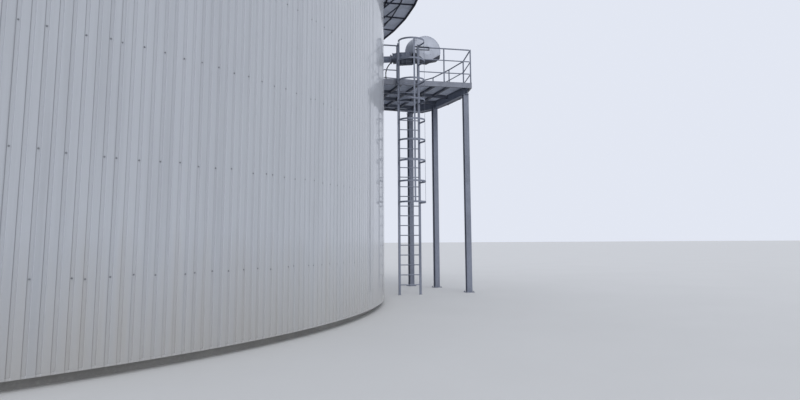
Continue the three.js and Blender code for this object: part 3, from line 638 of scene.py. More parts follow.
def sheet_profile():
    """The wall's outline as pairs of angle and radius, groove by groove round the tank."""
    profile = []
    for groove in range(GROOVE_COUNT):
        middle = GROOVE_ZERO + groove * GROOVE_STEP
        lift = 0.0
        if groove % SHEET_GROOVES == 0:
            lift = LAP_STEP
            profile.append((middle - LAP_EDGE / CLADDING_RADIUS, FLAT_RADIUS))
            profile.append((middle - (LAP_EDGE - 0.001) / CLADDING_RADIUS, FLAT_RADIUS + lift))
        for across, radius in [
            (-GROOVE_TOP_HALF, FLAT_RADIUS), (-GROOVE_FLOOR_HALF, GROOVE_RADIUS),
            (GROOVE_FLOOR_HALF, GROOVE_RADIUS), (GROOVE_TOP_HALF, FLAT_RADIUS),
        ]:
            profile.append((middle + across / CLADDING_RADIUS, radius + lift))
    return profile


def wall_sheets():
    form = Form()
    rings = []
    for angle, radius in sheet_profile():
        section = [
            (LINER_RADIUS, CLADDING_BOTTOM), (radius, CLADDING_BOTTOM), (radius, WALL_TOP),
            (LINER_RADIUS, WALL_TOP),
        ]
        rings.append([polar(reach, angle, z) for reach, z in section])
    form.rings(rings, closed=True)
    piece("wall_sheets", form, cladding, numbered("wall_cladding"), sharp=20)


def wall_screws():
    """Screws with washers in every second groove, a few of them one groove further on."""
    form = Form()
    chance = random.Random(SCREW_SEED)
    for groove in range(0, GROOVE_COUNT, 2):
        for z in SCREW_ROWS:
            moved = 1 if chance.random() < MOVED_SHARE else 0
            angle = GROOVE_ZERO + (groove + moved) * GROOVE_STEP
            height = z + chance.uniform(-0.015, 0.015)
            matrix = facing(polar(GROOVE_RADIUS - 0.001, angle, height), polar(1, angle, 0))
            form.turned([(0.0115, 0), (0.0115, 0.005)], 8, matrix)
            form.turned([(0.0065, 0.004), (0.0065, 0.012)], 6, matrix)
    piece("wall_screws", form, screw_paint)


def wall_trims():
    """The drip flashing under the sheets and the flashing under the rim."""
    form = Form()
    inner, drip, rim = CLADDING_RADIUS - 0.060, CLADDING_RADIUS - 0.0005, CLADDING_RADIUS - 0.0002
    low, high, top = CLADDING_BOTTOM, WALL_TOP - 0.060, WALL_TOP - 0.0005
    form.round_tank([(inner, low - 0.022), (drip, low - 0.028), (drip, low), (inner, low)])
    form.round_tank([(inner, high), (rim, high), (rim, top), (inner, top)])
    piece("wall_flashings", form, cladding)


wall_sheets()
wall_screws()
wall_trims()


# The dome, its seams and the clamp round its foot

sphere_radius = (DOME_RADIUS ** 2 + DOME_HEIGHT ** 2) / (2 * DOME_HEIGHT)
sphere_centre = DOME_BASE + DOME_HEIGHT - sphere_radius
rim_angle = acos((DOME_BASE - sphere_centre) / sphere_radius)


def dome_point(down, angle, lift=0.0):
    """A point of the dome, by its angle down from the crown and its angle round the tank."""
    radius = sphere_radius + lift
    return polar(radius * sin(down), angle, sphere_centre + radius * cos(down))


def dome_lift(down, angle):
    """The membrane bulges a little between the seams, most halfway down."""
    across = cos(angle * GORES) * 0.5 + 0.5
    return -0.016 - 0.012 * across * sin(pi * min(1.0, down / rim_angle))


def dome_cover():
    """The membrane in rings from the crown down. The first ring is one point, once welded."""
    angles = around(DOME_SEGMENTS)
    rings = []
    for step in range(DOME_STEPS + 1):
        down = rim_angle * step / DOME_STEPS
        rings.append([dome_point(down, angle, dome_lift(down, angle)) for angle in angles])
    form = Form()
    form.rings(rings, capped=False)
    cover = piece("dome_cover", form, membrane, ["dome_membrane"], sharp=180)
    thicken = cover.modifiers.new("thickness", "SOLIDIFY")
    thicken.thickness = 0.004
    thicken.offset = -1


def dome_seams():
    form = Form()
    for angle in around(GORES, 0.5):
        rings = []
        for step in range(3, 2 * DOME_STEPS + 1):
            down = rim_angle * step / (2 * DOME_STEPS)
            half = SEAM_HALF / (sphere_radius * sin(down))
            lift = dome_lift(down, angle)
            section = flat_section(half, lift - 0.002, lift + 0.004)
            rings.append([dome_point(down, angle + across, height) for across, height in section])
        form.rings(rings)
    crown = facing((0, 0, DOME_BASE + DOME_HEIGHT - 0.024), UP)
    form.turned([(0.90, -0.03), (0.90, -0.010), (0.88, 0.008), (0.30, 0.020), (0.05, 0.022)], 48, crown)
    piece("dome_seams", form, membrane)


def rim_clamp():
    """A channel with the membrane's hem in it, an inflated hose on top and clamp bolts."""
    form = Form()
    inner, outer, low = CLAMP_INNER, CLAMP_OUTER, CLAMP_BOTTOM
    slot, lip, bed, rim, top = outer - 0.118, outer - 0.028, low + 0.044, low + 0.091, low + 0.129
    form.round_tank([
        (inner, low), (outer, low), (outer, rim - 0.012), (outer - 0.008, rim), (lip, rim),
        (lip, bed), (slot, bed), (slot, top), (inner, top),
    ])
    hose = [polar(outer - 0.074, angle, low + 0.084) for angle in around(RING_SIDES)]
    form.tube(hose, HOSE_RADIUS, 10, closed=True)
    for angle in around(CLAMP_BOLTS, 0.5):
        form.hexagon_bolt(polar(outer, angle, low + 0.045), polar(1, angle, 0), 0.010, 0.0018, 1.5)
        form.hexagon_bolt(polar(inner + 0.210, angle, top), UP, 0.012, 0.0095, 1.5)
    piece("rim_clamp", form, rim_paint, ["rim_clamp_ring"])


def dome_port():
    """A short pipe with a bolted cover where the dome's sensor goes in."""
    down = acos((DOME_BASE + PORT_RISE - sphere_centre) / sphere_radius)
    normal = Vector(dome_point(down, PORT_DIRECTION)) - Vector((0, 0, sphere_centre))
    matrix = facing(dome_point(down, PORT_DIRECTION, -0.020), normal)
    form = Form()
    form.turned([(0.108, 0), (0.108, 0.014), (0.072, 0.020), (0.072, 0.055)], 32, matrix)
    form.turned([(0.100, 0.054), (0.100, 0.066), (0.096, 0.068)], 32, matrix)
    form.turned([(0.020, 0.066), (0.020, 0.074), (0.012, 0.079)], 16, matrix)
    form.bolt_circle(matrix, 0.086, 0.067, 8, 0.006, 0.009)
    piece("dome_port_cover", form, rim_paint, ["dome_port"])


rim_clamp()
dome_cover()
dome_seams()
dome_port()


# Plan outlines of the walkway and the platform

def bay_radius(corner_radius, angle):
    """The radius at an angle of a ring of straight bays whose corners have the given radius."""
    bay = 2 * pi / RIM_BAYS
    from_corner = (angle - RIM_PHASE) % bay
    return corner_radius * cos(bay / 2) / cos(from_corner - bay / 2)


def rim_bar(form, radius, z, section):
    """A bar of the given section, straight along every bay."""
    corners = [polar(radius, RIM_PHASE + angle, z) for angle in around(RIM_BAYS)]
    form.sweep(corners, section, closed=True)


def wall_x(y, radius=CLADDING_RADIUS):
    """Where the wall's face lies at a place across the platform."""
    return sqrt(radius ** 2 - y * y)


def front_edge(radius):
    return polar(radius, FRONT_DIRECTION, 0)[:2]


outer_path = [front_edge(FRONT_CORNER), *PLATFORM_CORNERS]
platform_outline = [front_edge(INSIDE_WALL), *outer_path, (INSIDE_WALL, PLATFORM_REAR)]


def crossings(outline, axis, value):
    """Where a line of constant X (axis 0) or Y (axis 1) crosses a closed plan outline."""
    found = []
    for start, end in zip(outline, outline[1:] + outline[:1]):
        low, high = sorted((start[axis], end[axis]))
        if low <= value < high:
            share = (value - start[axis]) / (end[axis] - start[axis])
            found.append(start[1 - axis] + share * (end[1 - axis] - start[1 - axis]))
    return sorted(found)


def moved_left(path, inset, closed=False):
    """A plan path moved to its left, with its corners kept sharp."""
    moved = []
    for (x, y), (into, out) in zip(path, ways_at(path, closed)):
        factor = inset / (1 + into.dot(out))
        moved.append((x - factor * (into.y + out.y), y + factor * (into.x + out.x)))
    return moved


def flat_bar(form, start, end, thickness, bottom, top):
    """An upright flat bar between two plan points."""
    start, end = Vector((*start, 0)), Vector((*end, 0))
    side = (end - start).normalized().cross(UP) * (thickness / 2)
    corners = [start - side, start + side, end + side, end - side]
    form.rings([[(corner.x, corner.y, z) for corner in corners] for z in (bottom, top)])


# The rim walkway

def walkway_steelwork():
    """Angles round the walkway, a T across it at every corner, and a braced knee under each."""
    form = Form()
    low, high = WALKWAY_UNDERSIDE, WALKWAY_FRAME_TOP
    shelf = high - 0.006
    for radius, way in zip(WALKWAY_RING_RADII, (1, -1, -1)):
        web, inner, lip = way * 0.024, way * 0.018, way * -0.020
        angle = [(web, low), (web, high), (lip, high), (lip, shelf), (inner, shelf), (inner, low)]
        rim_bar(form, radius, 0, angle)
    rim_bar(form, WALKWAY_RADIUS - 0.004, 0, flat_section(0.003, low, WALKWAY_DECK_TOP))
    slope = Vector((BRACE_TOP_RADIUS - CLADDING_RADIUS, 0, low - BRACE_FOOT))
    inner, outer = CLADDING_RADIUS + 0.0015, WALKWAY_RING_RADII[2]
    for corner in around(RIM_BAYS):
        turn = turned_by(RIM_PHASE + corner)
        form.block((inner, -0.006, low), (outer, 0.006, shelf), turn)
        form.block((inner, -0.024, shelf), (outer, 0.024, high), turn)
        form.block((outer, -0.024, low), (WALKWAY_RADIUS - 0.009, 0.024, high), turn)
        form.block((inner, -0.019, BRACE_FOOT - 0.028), (inner + 0.006, 0.019, BRACE_FOOT + 0.026), turn)
        foot = turn @ Matrix.Translation((CLADDING_RADIUS, 0, BRACE_FOOT))
        lean = foot @ Matrix.Rotation(-atan2(slope.z, slope.x), 4, "Y")
        form.block((0.016, -0.019, 0.012), (slope.length + 0.004, 0.019, 0.018), lean)
        form.block((0.016, 0.013, -0.017), (slope.length - 0.012, 0.019, 0.016), lean)
    piece("walkway_steelwork", form, walkway_steel, numbered("walkway_frame"))


def walkway_grating():
    form = Form()
    for angle in around(round(2 * pi * WALKWAY_RADIUS / GRATING_PITCH)):
        start = polar(WALKWAY_INNER, angle, 0)[:2]
        end = polar(bay_radius(WALKWAY_RADIUS, angle) - 0.012, angle, 0)[:2]
        flat_bar(form, start, end, BAR_THICKNESS, WALKWAY_DECK_BOTTOM, WALKWAY_DECK_TOP - 0.002)
    band = flat_section(0.003, -0.014, 0.014)
    middle = (WALKWAY_DECK_BOTTOM + WALKWAY_DECK_TOP) / 2
    for radius in (WALKWAY_INNER + 0.004, WALKWAY_RADIUS - 0.012):
        rim_bar(form, radius, middle, band)
    rod = flat_section(0.003, -0.003, 0.003)
    for radius in stops(WALKWAY_INNER + ROD_SPACING, WALKWAY_RADIUS - 0.05, ROD_SPACING):
        rim_bar(form, radius, WALKWAY_DECK_TOP - 0.005, rod)
    piece("walkway_grating", form, grating, numbered("walkway_deck"))


# The service platform

def column_frame(place):
    """A matrix at a column's foot, turned towards the tank's centre."""
    x, y = place
    return Matrix.Translation((x, y, 0)) @ turned_by(atan2(y, x))


def main_beam_path():
    first, middle, last = (Vector(place) for place in COLUMNS)
    before = first + (first - middle).normalized() * MAIN_BEAM_END
    after = last + (last - middle).normalized() * MAIN_BEAM_END
    return [(*point, 0) for point in (before, middle, after)]


def platform_edge():
    """An edge channel round the platform, with a kerb."""
    rear_end = (wall_x(PLATFORM_REAR) + 0.014, PLATFORM_REAR)
    path = [front_edge(CLADDING_RADIUS + 0.014), *outer_path, rear_end]
    web, lip, kerb = -STEEL_PLATE, -CHANNEL_WIDTH, KERB_TOP - 0.0003
    head, foot = JOIST_TOP - 0.010, CHANNEL_BOTTOM + 0.010
    section = [
        (0, CHANNEL_BOTTOM), (0, kerb), (web, kerb), (web, JOIST_TOP), (lip, JOIST_TOP), (lip, head),
        (web, head), (web, foot), (lip, foot), (lip, CHANNEL_BOTTOM),
    ]
    form = Form()
    form.sweep([(*p, 0) for p in path], section)
    piece("platform_edge", form, fascia_steel, ["platform_frame"])


def platform_joists():
    """Joists from front to rear, and cross beams with end plates on the wall."""
    form = Form()
    inside = moved_left(platform_outline, 0.016, closed=True)

    def beam(start, end, depth):
        low = JOIST_TOP - depth
        section = i_section(JOIST_WIDTH / 2, 0.003, low, low + 0.008, JOIST_TOP - 0.008, JOIST_TOP)
        form.sweep([(*start, 0), (*end, 0)], section)

    for x in JOIST_PLACES:
        front, rear = crossings(inside, 0, x)
        beam((x, front), (x, rear), JOIST_DEPTH)
    for y in CROSS_PLACES:
        wall = wall_x(y)
        beam((wall + STEEL_PLATE, y), (crossings(inside, 1, y)[-1], y), CROSS_DEPTH)
        form.block((wall + 0.001, y - 0.080, JOIST_TOP - 0.160), (wall + STEEL_PLATE, y + 0.080, JOIST_TOP))
    piece("platform_joists", form, joist_steel, ["platform_frame"])


def platform_main_beam():
    """The main beam over the posts, with stiffeners at each of them."""
    form = Form()
    section = i_section(0.060, 0.005, MAIN_BEAM_BOTTOM, MAIN_BEAM_FLANGE_TOP, MAIN_BEAM_HEAD, JOIST_TOP)
    form.sweep(main_beam_path(), section)
    for place in COLUMNS:
        for side in (-0.030, 0.030):
            low = (side - 0.024, -0.005, MAIN_BEAM_FLANGE_TOP)
            form.block(low, (side + 0.024, 0.005, MAIN_BEAM_HEAD), column_frame(place))
    piece("platform_main_beam", form, under_steel, ["platform_frame"])


def platform_grating():
    form = Form()
    outline = moved_left(platform_outline, 0.0135, closed=True)
    for y in stops(FIRST_BAR, PLATFORM_REAR, GRATING_PITCH):
        found = crossings(outline, 1, y)
        wall = wall_x(y, CLADDING_RADIUS + 0.012)
        if len(found) == 2 and found[1] > max(found[0], wall) + 0.02:
            start, end = (max(found[0], wall), y), (found[1], y)
            flat_bar(form, start, end, BAR_THICKNESS, DECK_BOTTOM + 0.008, DECK_TOP - 0.002)
    for x in stops(FIRST_ROD, PLATFORM_CORNERS[0][0], ROD_SPACING):
        found = crossings(outline, 0, x)
        if len(found) == 2:
            flat_bar(form, (x, found[0]), (x, found[1]), 0.006, DECK_TOP - 0.010, DECK_TOP)
    piece("platform_grating", form, grating, ["platform_deck"])


platform_edge()
platform_joists()
platform_main_beam()
walkway_steelwork()
walkway_grating()
platform_grating()


# Railings of round tube

def post(form, x, y, bottom, top, toward):
    """A post with a foot plate and two bolts."""
    form.tube([(x, y, bottom), (x, y, top)], TUBE, 12)
    matrix = Matrix.Translation((x, y, bottom)) @ turned_by(toward)
    form.block((-0.018, -0.045, 0), (0.018, 0.045, 0.008), matrix)
    for side in (-0.033, 0.033):
        form.hexagon_bolt(matrix @ Vector((0, side, 0.008)), UP, 0.006, 0.010)


def rim_railing():
    form = Form()
    top = WALKWAY_DECK_TOP + RAILING_HEIGHT - TUBE
    rim_bar(form, RIM_RAIL_RADIUS, top, circle(TUBE, 10))
    for knee in RIM_KNEES:
        rim_bar(form, RIM_RAIL_RADIUS, WALKWAY_DECK_TOP + knee, circle(KNEE_TUBE, 10))
    rim_bar(form, RIM_RAIL_RADIUS - 0.024, WALKWAY_DECK_TOP + 0.060, flat_section(0.002, -0.050, 0.050))
    for corner in around(RIM_BAYS):
        angle = RIM_PHASE + corner
        x, y, bottom = polar(RIM_RAIL_RADIUS, angle, WALKWAY_DECK_TOP)
        post(form, x, y, bottom, top, angle)
    piece("rim_railing", form, steel, numbered("walkway_railing"))


def platform_railing(side, path, posts, ends):
    """Rails along a plan path, with posts at the given plan points. Ends shorten the rails."""
    form = Form()
    line = [Vector(p) for p in moved_left(path, RAIL_INSET)]
    line[0] += (line[1] - line[0]).normalized() * ends[0]
    line[-1] += (line[-2] - line[-1]).normalized() * ends[1]
    top = DECK_TOP + RAILING_HEIGHT - TUBE
    form.tube([(*p, top) for p in line], TUBE, 12)
    for knee in KNEES:
        form.tube([(*p, DECK_TOP + knee) for p in line], KNEE_TUBE, 12)
    for x, y, toward in posts:
        post(form, x, y, KERB_TOP, top, toward)
    piece(f"{side}_railing", form, steel, [f"platform_railing_{side}"])


def outer_railing():
    corners = [Vector(corner) for corner in moved_left(outer_path, RAIL_INSET)]
    last = len(corners) - 1
    posts = []
    for k, corner in enumerate(corners):
        way = (corners[min(k + 1, last)] - corners[max(k - 1, 0)]).normalized()
        place = corner + way * {0: POST_FROM_END, last: -POST_FROM_END}.get(k, 0.0)
        posts.append((place.x, place.y, atan2(way.y, way.x) + pi / 2))
    platform_railing("outer", outer_path, posts, (0.012, 0.012))


def front_railing(side, start, end, post_radii, ends):
    """Rails along the front edge between two radii, with posts at the given ones."""
    path = [front_edge(start), front_edge(end)]
    posts = []
    for radius in post_radii:
        place = moved_left([path[0], front_edge(radius)], RAIL_INSET)[1]
        posts.append((*place, FRONT_DIRECTION))
    platform_railing(side, path, posts, ends)


def front_railings():
    """The rails on both sides of the ladder's opening."""
    beside_ladder = LADDER_HALF + STILE_HALF - RAIL_BEHIND_STILE
    start, end = LADDER_RADIUS + beside_ladder, FRONT_CORNER - RAIL_CORNER_GAP
    radii = [start + POST_FROM_END, (start + end) / 2 + POST_FROM_END]
    front_railing("front", start, end, radii, (0.02, 0.0))
    start, end = CLADDING_RADIUS + 0.010, LADDER_RADIUS - beside_ladder
    front_railing("wall_side", start, end, [end - POST_FROM_END], (0.0, 0.02))


def rear_railing():
    start = PLATFORM_CORNERS[-1][0] - RAIL_CORNER_GAP
    end = wall_x(PLATFORM_REAR) + 0.020
    step = (start - end - 2 * POST_FROM_END) / 3
    row = PLATFORM_REAR - RAIL_INSET
    posts = [(start - bay * step - POST_FROM_END, row, 0.0) for bay in (1, 2, 3)]
    path = [(start, PLATFORM_REAR), (end, PLATFORM_REAR)]
    platform_railing("rear", path, posts, (0.0, 0.02))


rim_railing()
outer_railing()
front_railings()
rear_railing()


# The ladder and its cage, drawn along the front edge: along, out and up

def ladder_point(sideways, out, z):
    radius = LADDER_RADIUS + sideways
    cosine, sine = cos(FRONT_DIRECTION), sin(FRONT_DIRECTION)
    return Vector((radius * cosine - out * sine, radius * sine + out * cosine, z))


def ladder_matrix(sideways, out, z):
    return Matrix.Translation(ladder_point(sideways, out, z)) @ turned_by(FRONT_DIRECTION)


def ladder():
    form = Form()
    middle = (LADDER_BACK + LADDER_FACE) / 2
    outward = ladder_point(0, -1, 0) - ladder_point(0, 0, 0)
    section = rounded_rectangle(STILE_HALF, 0.015, 0.006, 3)
    for side in (-LADDER_HALF, LADDER_HALF):
        foot = ladder_matrix(side, middle, 0)
        form.rings([[(u, v, z) for u, v in section] for z in (0.0, LADDER_TOP)], matrix=foot)
        form.block((-0.045, -0.014, 0.0), (0.045, 0.014, 0.010), foot)
        bracket = ladder_matrix(side, 0, LADDER_BRACKET)
        form.block((-0.030, LADDER_BACK - 0.002, -0.030), (0.030, -0.001, 0.030), bracket)
        for drop in (-0.016, 0.016):
            form.hexagon_bolt(ladder_point(side, LADDER_FACE, LADDER_BRACKET + drop), outward, 0.007, 0.0003)
    reach = LADDER_HALF - STILE_HALF

    def bar(start, end, z, radius):
        form.tube([ladder_point(start, middle, z), ladder_point(end, middle, z)], radius, 12)

    for rung in range(1, RUNG_COUNT + 1):
        z = rung * RUNG_SPACING
        bar(-reach - 0.004, reach + 0.004, z, RUNG_RADIUS)
        for side in (-1, 1):
            bar(side * (reach - 0.006), side * reach, z, RUNG_RADIUS + 0.0006)
    piece("access_ladder", form, steel, ["ladder"])


def hoop_line():
    """Plan points of a hoop's inner face, from one stile round to the other."""
    stile_angle = pi - atan2(LADDER_HALF, HOOP_OUT)
    stile_reach = hypot(LADDER_HALF, HOOP_OUT) - HOOP_THICKNESS
    steps = range(HOOP_STEPS + 1)
    line = [(-HOOP_BEND + 2 * HOOP_BEND * step / HOOP_STEPS, HOOP_RADIUS) for step in steps]
    return [(-stile_angle, stile_reach), *line, (stile_angle, stile_reach)]


def cage_point(angle, radius, z):
    out, sideways, z = polar(radius, angle, z)
    return tuple(ladder_point(sideways, LADDER_FACE - 0.0003 - HOOP_OUT - out, z))


def cage_band(form, line, thickness, bottom, top):
    """A flat band of the cage along plan points of its inner face."""
    rings = []
    for angle, inner in line:
        section = [(inner, bottom), (inner + thickness, bottom), (inner + thickness, top), (inner, top)]
        rings.append([cage_point(angle, radius, z) for radius, z in section])
    form.rings(rings)


def cage():
    form = Form()
    tops = [CAGE_TOP - hoop * HOOP_SPACING for hoop in range(HOOP_COUNT)]
    thickness = HOOP_THICKNESS * 0.8
    for top in tops:
        cage_band(form, hoop_line(), thickness, top - HOOP_HEIGHT, top)
    half = STRAP_HALF / HOOP_RADIUS
    for strap in STRAP_ANGLES:
        line = [(angle, HOOP_RADIUS - 0.004) for angle in (strap - half, strap + half)]
        cage_band(form, line, 0.005, tops[-1] - HOOP_HEIGHT, CAGE_TOP)
        for top in tops:
            z = top - HOOP_HEIGHT / 2
            place = Vector(cage_point(strap, HOOP_RADIUS + thickness, z))
            form.hexagon_bolt(place, place - Vector(cage_point(strap, 0, z)), 0.006, 0.0019)
    piece("safety_cage", form, steel, ["ladder_cage_upper", "ladder_cage_lower"])


ladder()
cage()


# The drive unit

drive_frame = Matrix.Translation((wall_x(DRIVE_ENTRY_Y), DRIVE_ENTRY_Y, 0)) @ turned_by(DRIVE_DIRECTION)
drive_axis = (drive_frame.to_3x3() @ Vector((1, 0, 0))).normalized()


def drive_point(along, sideways, z):
    return drive_frame @ Vector((along, sideways, z))


def drive_side(place, sideways):
    """A matrix on the drive's side, with Z pointing away from it."""
    along, z = place
    return drive_frame @ facing((along, sideways, z), (0, sideways, 0))


def housing(form, start, end, half, bottom, top, corner):
    """A box housing along the drive with rounded long edges and softened ends."""
    middle, half_height = (bottom + top) / 2, (top - bottom) / 2
    soft = 0.006
    rings = []
    for x, less in [(start, soft), (start + soft, 0.0), (end - soft, 0.0), (end, soft)]:
        section = rounded_rectangle(half - less, half_height - less, corner, 4)
        rings.append([(x, u, middle + v) for u, v in section])
    form.rings(rings, matrix=drive_frame)


def tank_cutter():
    """The part of the tank's space that the shaft pipe runs into."""
    form = Form()
    inner, outer = INSIDE_WALL - 0.1, CLADDING_RADIUS - 0.0015
    low, high = BELOW_DRIVE, ABOVE_DRIVE
    section = [(inner, low), (outer, low), (outer, high), (inner, high)]
    angles = [radians(-5 + 0.5 * step) for step in range(21)]
    form.rings([[polar(radius, angle, z) for radius, z in section] for angle in angles])
    return form


def shaft_pipe():
    """The pipe round the shaft, with a flange on the wall and a bearing flange at its end."""
    along = drive_frame @ facing((0, 0, PIPE_HEIGHT), (1, 0, 0))
    end = COUPLING_START - 0.001
    near, far = end - 0.071, end - 0.048
    pipe_radius, bearing_radius = PIPE_RADIUS - 0.001, 0.150
    form = Form()
    form.turned([
        (pipe_radius, -0.20), (pipe_radius, near - 0.004), (bearing_radius, near),
        (bearing_radius, far), (pipe_radius, far + 0.004), (pipe_radius, end),
    ], 48, along)
    pipe = piece("shaft_pipe", form, pipe_paint, ["shaft_tube"])
    trim_with(pipe, tank_cutter())

    entry_angle = asin(DRIVE_ENTRY_Y / CLADDING_RADIUS)
    flange = facing(polar(CLADDING_RADIUS - 0.002, entry_angle, PIPE_HEIGHT), polar(1, entry_angle, 0))
    form = Form()
    form.turned([(0.228, 0.0), (0.228, 0.021), (0.224, 0.025), (0.140, 0.025), (0.136, 0.026)], 64, flange)
    piece("shaft_flange", form, pipe_paint)

    form = Form()
    form.bolt_circle(flange, 0.198, 0.024, 12, 0.010, 0.012, 0.5)
    form.bolt_circle(along, 0.130, far, 12, 0.007, 0.010, 0.5)
    form.bolt_circle(along, 0.130, near, 12, 0.007, 0.010, 0.5, way=-1)
    piece("flange_bolts", form, steel)


def coupling():
    form = Form()
    half, low, high = DRIVE_HALF, COUPLING_BOTTOM, COUPLING_TOP
    start, end = COUPLING_START, GEARBOX_START - 0.0005
    housing(form, start, end - 0.022, half - 0.012, low + 0.010, high - 0.012, 0.022)
    housing(form, end - 0.024, end, half, low, high, 0.015)
    housing(form, start + 0.0005, start + 0.020, half - 0.001, low + 0.002, high - 0.001, 0.018)
    for side in (-1, 1):
        for z in COUPLING_BOLT_HEIGHTS:
            place = drive_point(end - 0.024, side * (half - 0.006), z)
            form.hexagon_bolt(place, -drive_axis, 0.005, 0.010, 1.1)
        cover = drive_side(COUPLING_COVER, side * (half - 0.013))
        form.turned([(0.034, 0.0), (0.034, 0.007), (0.028, 0.010), (0.010, 0.010)], 20, cover)
    piece("coupling_housing", form, drive_paint, ["shaft_coupling"])


def drum_side(y):
    """The drum's radius at a place along its axis."""
    share = (y - DRUM_FRONT) / (DRUM_BACK - DRUM_FRONT)
    return DRUM_FRONT_RADIUS + (DRUM_BACK_RADIUS - DRUM_FRONT_RADIUS) * share


def drum_axis(way=1):
    """A matrix at the middle of the drum's front, with Z along its axis."""
    return facing((DRUM_X, DRUM_FRONT, DRUM_HEIGHT), (0, way, 0))


def gearbox():
    """A ribbed housing that ends against the drum's side and the cradle, cut to them."""
    body = Form()
    half, low, high, split = DRIVE_HALF, GEARBOX_BOTTOM, GEARBOX_TOP, GEARBOX_SPLIT
    housing(body, GEARBOX_START, GEARBOX_END, half - 0.007, low + 0.005, high - 0.006, 0.030)
    for start in GEARBOX_RIBS:
        housing(body, start, start + 0.016, half - 0.001, low + 0.001, high - 0.001, 0.026)
    body.block((GEARBOX_START + 0.002, -half, split - 0.011), (GEARBOX_END, half, split + 0.011), drive_frame)
    item = piece("gearbox_housing", body, drive_paint, ["gearbox"])
    cutter = Form()
    widening = [(drum_side(DRUM_FRONT) + 0.001, 0.0), (drum_side(DRUM_BACK + 0.3) + 0.001, 0.780)]
    cutter.turned(widening, 96, drum_axis())
    trim_with(item, cutter)
    cutter = Form()
    corner = (CRADLE_LEFT - 0.001, DRUM_FRONT - 0.2, BELOW_DRIVE)
    cutter.block(corner, (DRUM_X + 0.4, CRADLE_BACK + 0.001, ABOVE_DRIVE))
    trim_with(item, cutter)

    fittings = Form()
    for side in (-1, 1):
        for along in GEARBOX_BOLTS:
            for way, height in ((1, 0.010), (-1, 0.008)):
                place = drive_point(along, side * (half - 0.005), split + way * 0.011)
                fittings.hexagon_bolt(place, (0, 0, way), 0.004, height, 1.1)
        cover = drive_side(GEARBOX_COVER, side * (half - 0.011))
        fittings.turned([(0.036, 0.0), (0.036, 0.007), (0.030, 0.0105), (0.008, 0.0105)], 24, cover)
        plug = drive_side(GEARBOX_PLUG, side * (half - 0.011))
        fittings.turned([(0.013, 0.0), (0.013, 0.006), (0.008, 0.0105)], 6, plug)
    piece("gearbox_fittings", fittings, drive_paint)


def seat_height(across):
    return SEAT_FLOOR + max(0.0, abs(across) - SEAT_FLOOR_HALF) * SEAT_SLOPE


def seat_line(reach, drop):
    """The seat's section from right to left, as points across the drum and up."""
    places = (reach, SEAT_FLOOR_HALF, -SEAT_FLOOR_HALF, -reach)
    return [(across, seat_height(across) - drop) for across in places]


def seat_cutter():
    """The space under the drum's flat floor and its sloping sides."""
    form = Form()
    reach, low = 1.0, DECK_TOP
    section = [*seat_line(reach, 0.0), (-reach, low), (reach, low)]
    rows = (DRUM_FRONT - 0.25, DRUM_BACK + 0.27)
    form.rings([[(DRUM_X + x, y, z) for x, z in section] for y in rows])
    return form


def drum_shell():
    """A drum of rolled sheet that widens to its back, with two beads and flanged rims."""
    length = DRUM_BACK - DRUM_FRONT
    sink = 0.003
    outline = [(0.30, 0.012), (DRUM_FRONT_RADIUS - 0.004, 0.012), (DRUM_FRONT_RADIUS, 0.018)]

    def mark(along, rise=0.0):
        outline.append((drum_side(DRUM_FRONT + along) + rise, along))

    mark(0.040)
    mark(0.042, -sink)
    for bead in DRUM_BEADS:
        for step in range(-4, 5):
            mark(bead + 0.0035 * step, sink * (1 + cos(pi * step / 4)) / 2 - sink)
    mark(length - 0.032, -sink)
    mark(length - 0.030)
    mark(length - 0.002)
    mark(length, -0.010)
    form = Form()
    form.turned(outline, 96, drum_axis())
    trim_with(piece("drum_housing", form, drum_paint, ["drum"]), seat_cutter())


def drum_cover():
    """The front cover with a pressed rim and hub, and its bolts."""
    rim = DRUM_FRONT_RADIUS
    form = Form()
    form.turned([
        (rim - 0.002, 0.0118), (rim, 0.009), (rim - 0.002, 0.002), (rim - 0.006, 0.0),
        (rim - 0.030, 0.0), (rim - 0.036, 0.005), (0.205, 0.003), (0.200, 0.0),
        (0.062, 0.0), (0.056, 0.003),
    ], 96, drum_axis())
    trim_with(piece("drum_front_cover", form, drum_paint, ["drum_cover"]), seat_cutter())

    bolts = Form()
    outward = drum_axis(-1)
    for angle in around(32, 0.5):
        across, up, back = polar(rim - 0.017, angle, -0.001)
        if DRUM_HEIGHT + up > seat_height(across) + 0.02:
            bolts.hexagon_bolt(outward @ Vector((across, up, back)), (0, -1, 0), 0.006, 0.009)
    bolts.bolt_circle(outward, 0.17, -0.001, 8, 0.006, 0.009)
    piece("drum_bolts", bolts, steel)


def cradle():
    """The seat under the drum's front: a bent plate box with a lip and a row of bolts."""
    form = Form()
    front = DRUM_FRONT - CRADLE_LIP
    section = [*seat_line(SEAT_HALF, 0.0004), *CRADLE_UNDERSIDE]
    middle = SEAT_FLOOR + 0.07
    for share, start, end in [(1.0, front + 0.010, CRADLE_BACK), (0.985, front, front + 0.010)]:
        outline = [(DRUM_X + x * share, middle + (z - middle) * share) for x, z in section]
        form.rings([[(x, y, z) for x, z in outline] for y in (start, end)])
    for across, z in CRADLE_BOLTS:
        form.hexagon_bolt((DRUM_X + across, front + 0.001, z), (0, -1, 0), 0.008, 0.0009)
    piece("drum_seat", form, seat_paint, ["drum_cradle"])


shaft_pipe()
coupling()
gearbox()
drum_shell()
drum_cover()
cradle()


# The flexible conduit from the coupling down to the deck

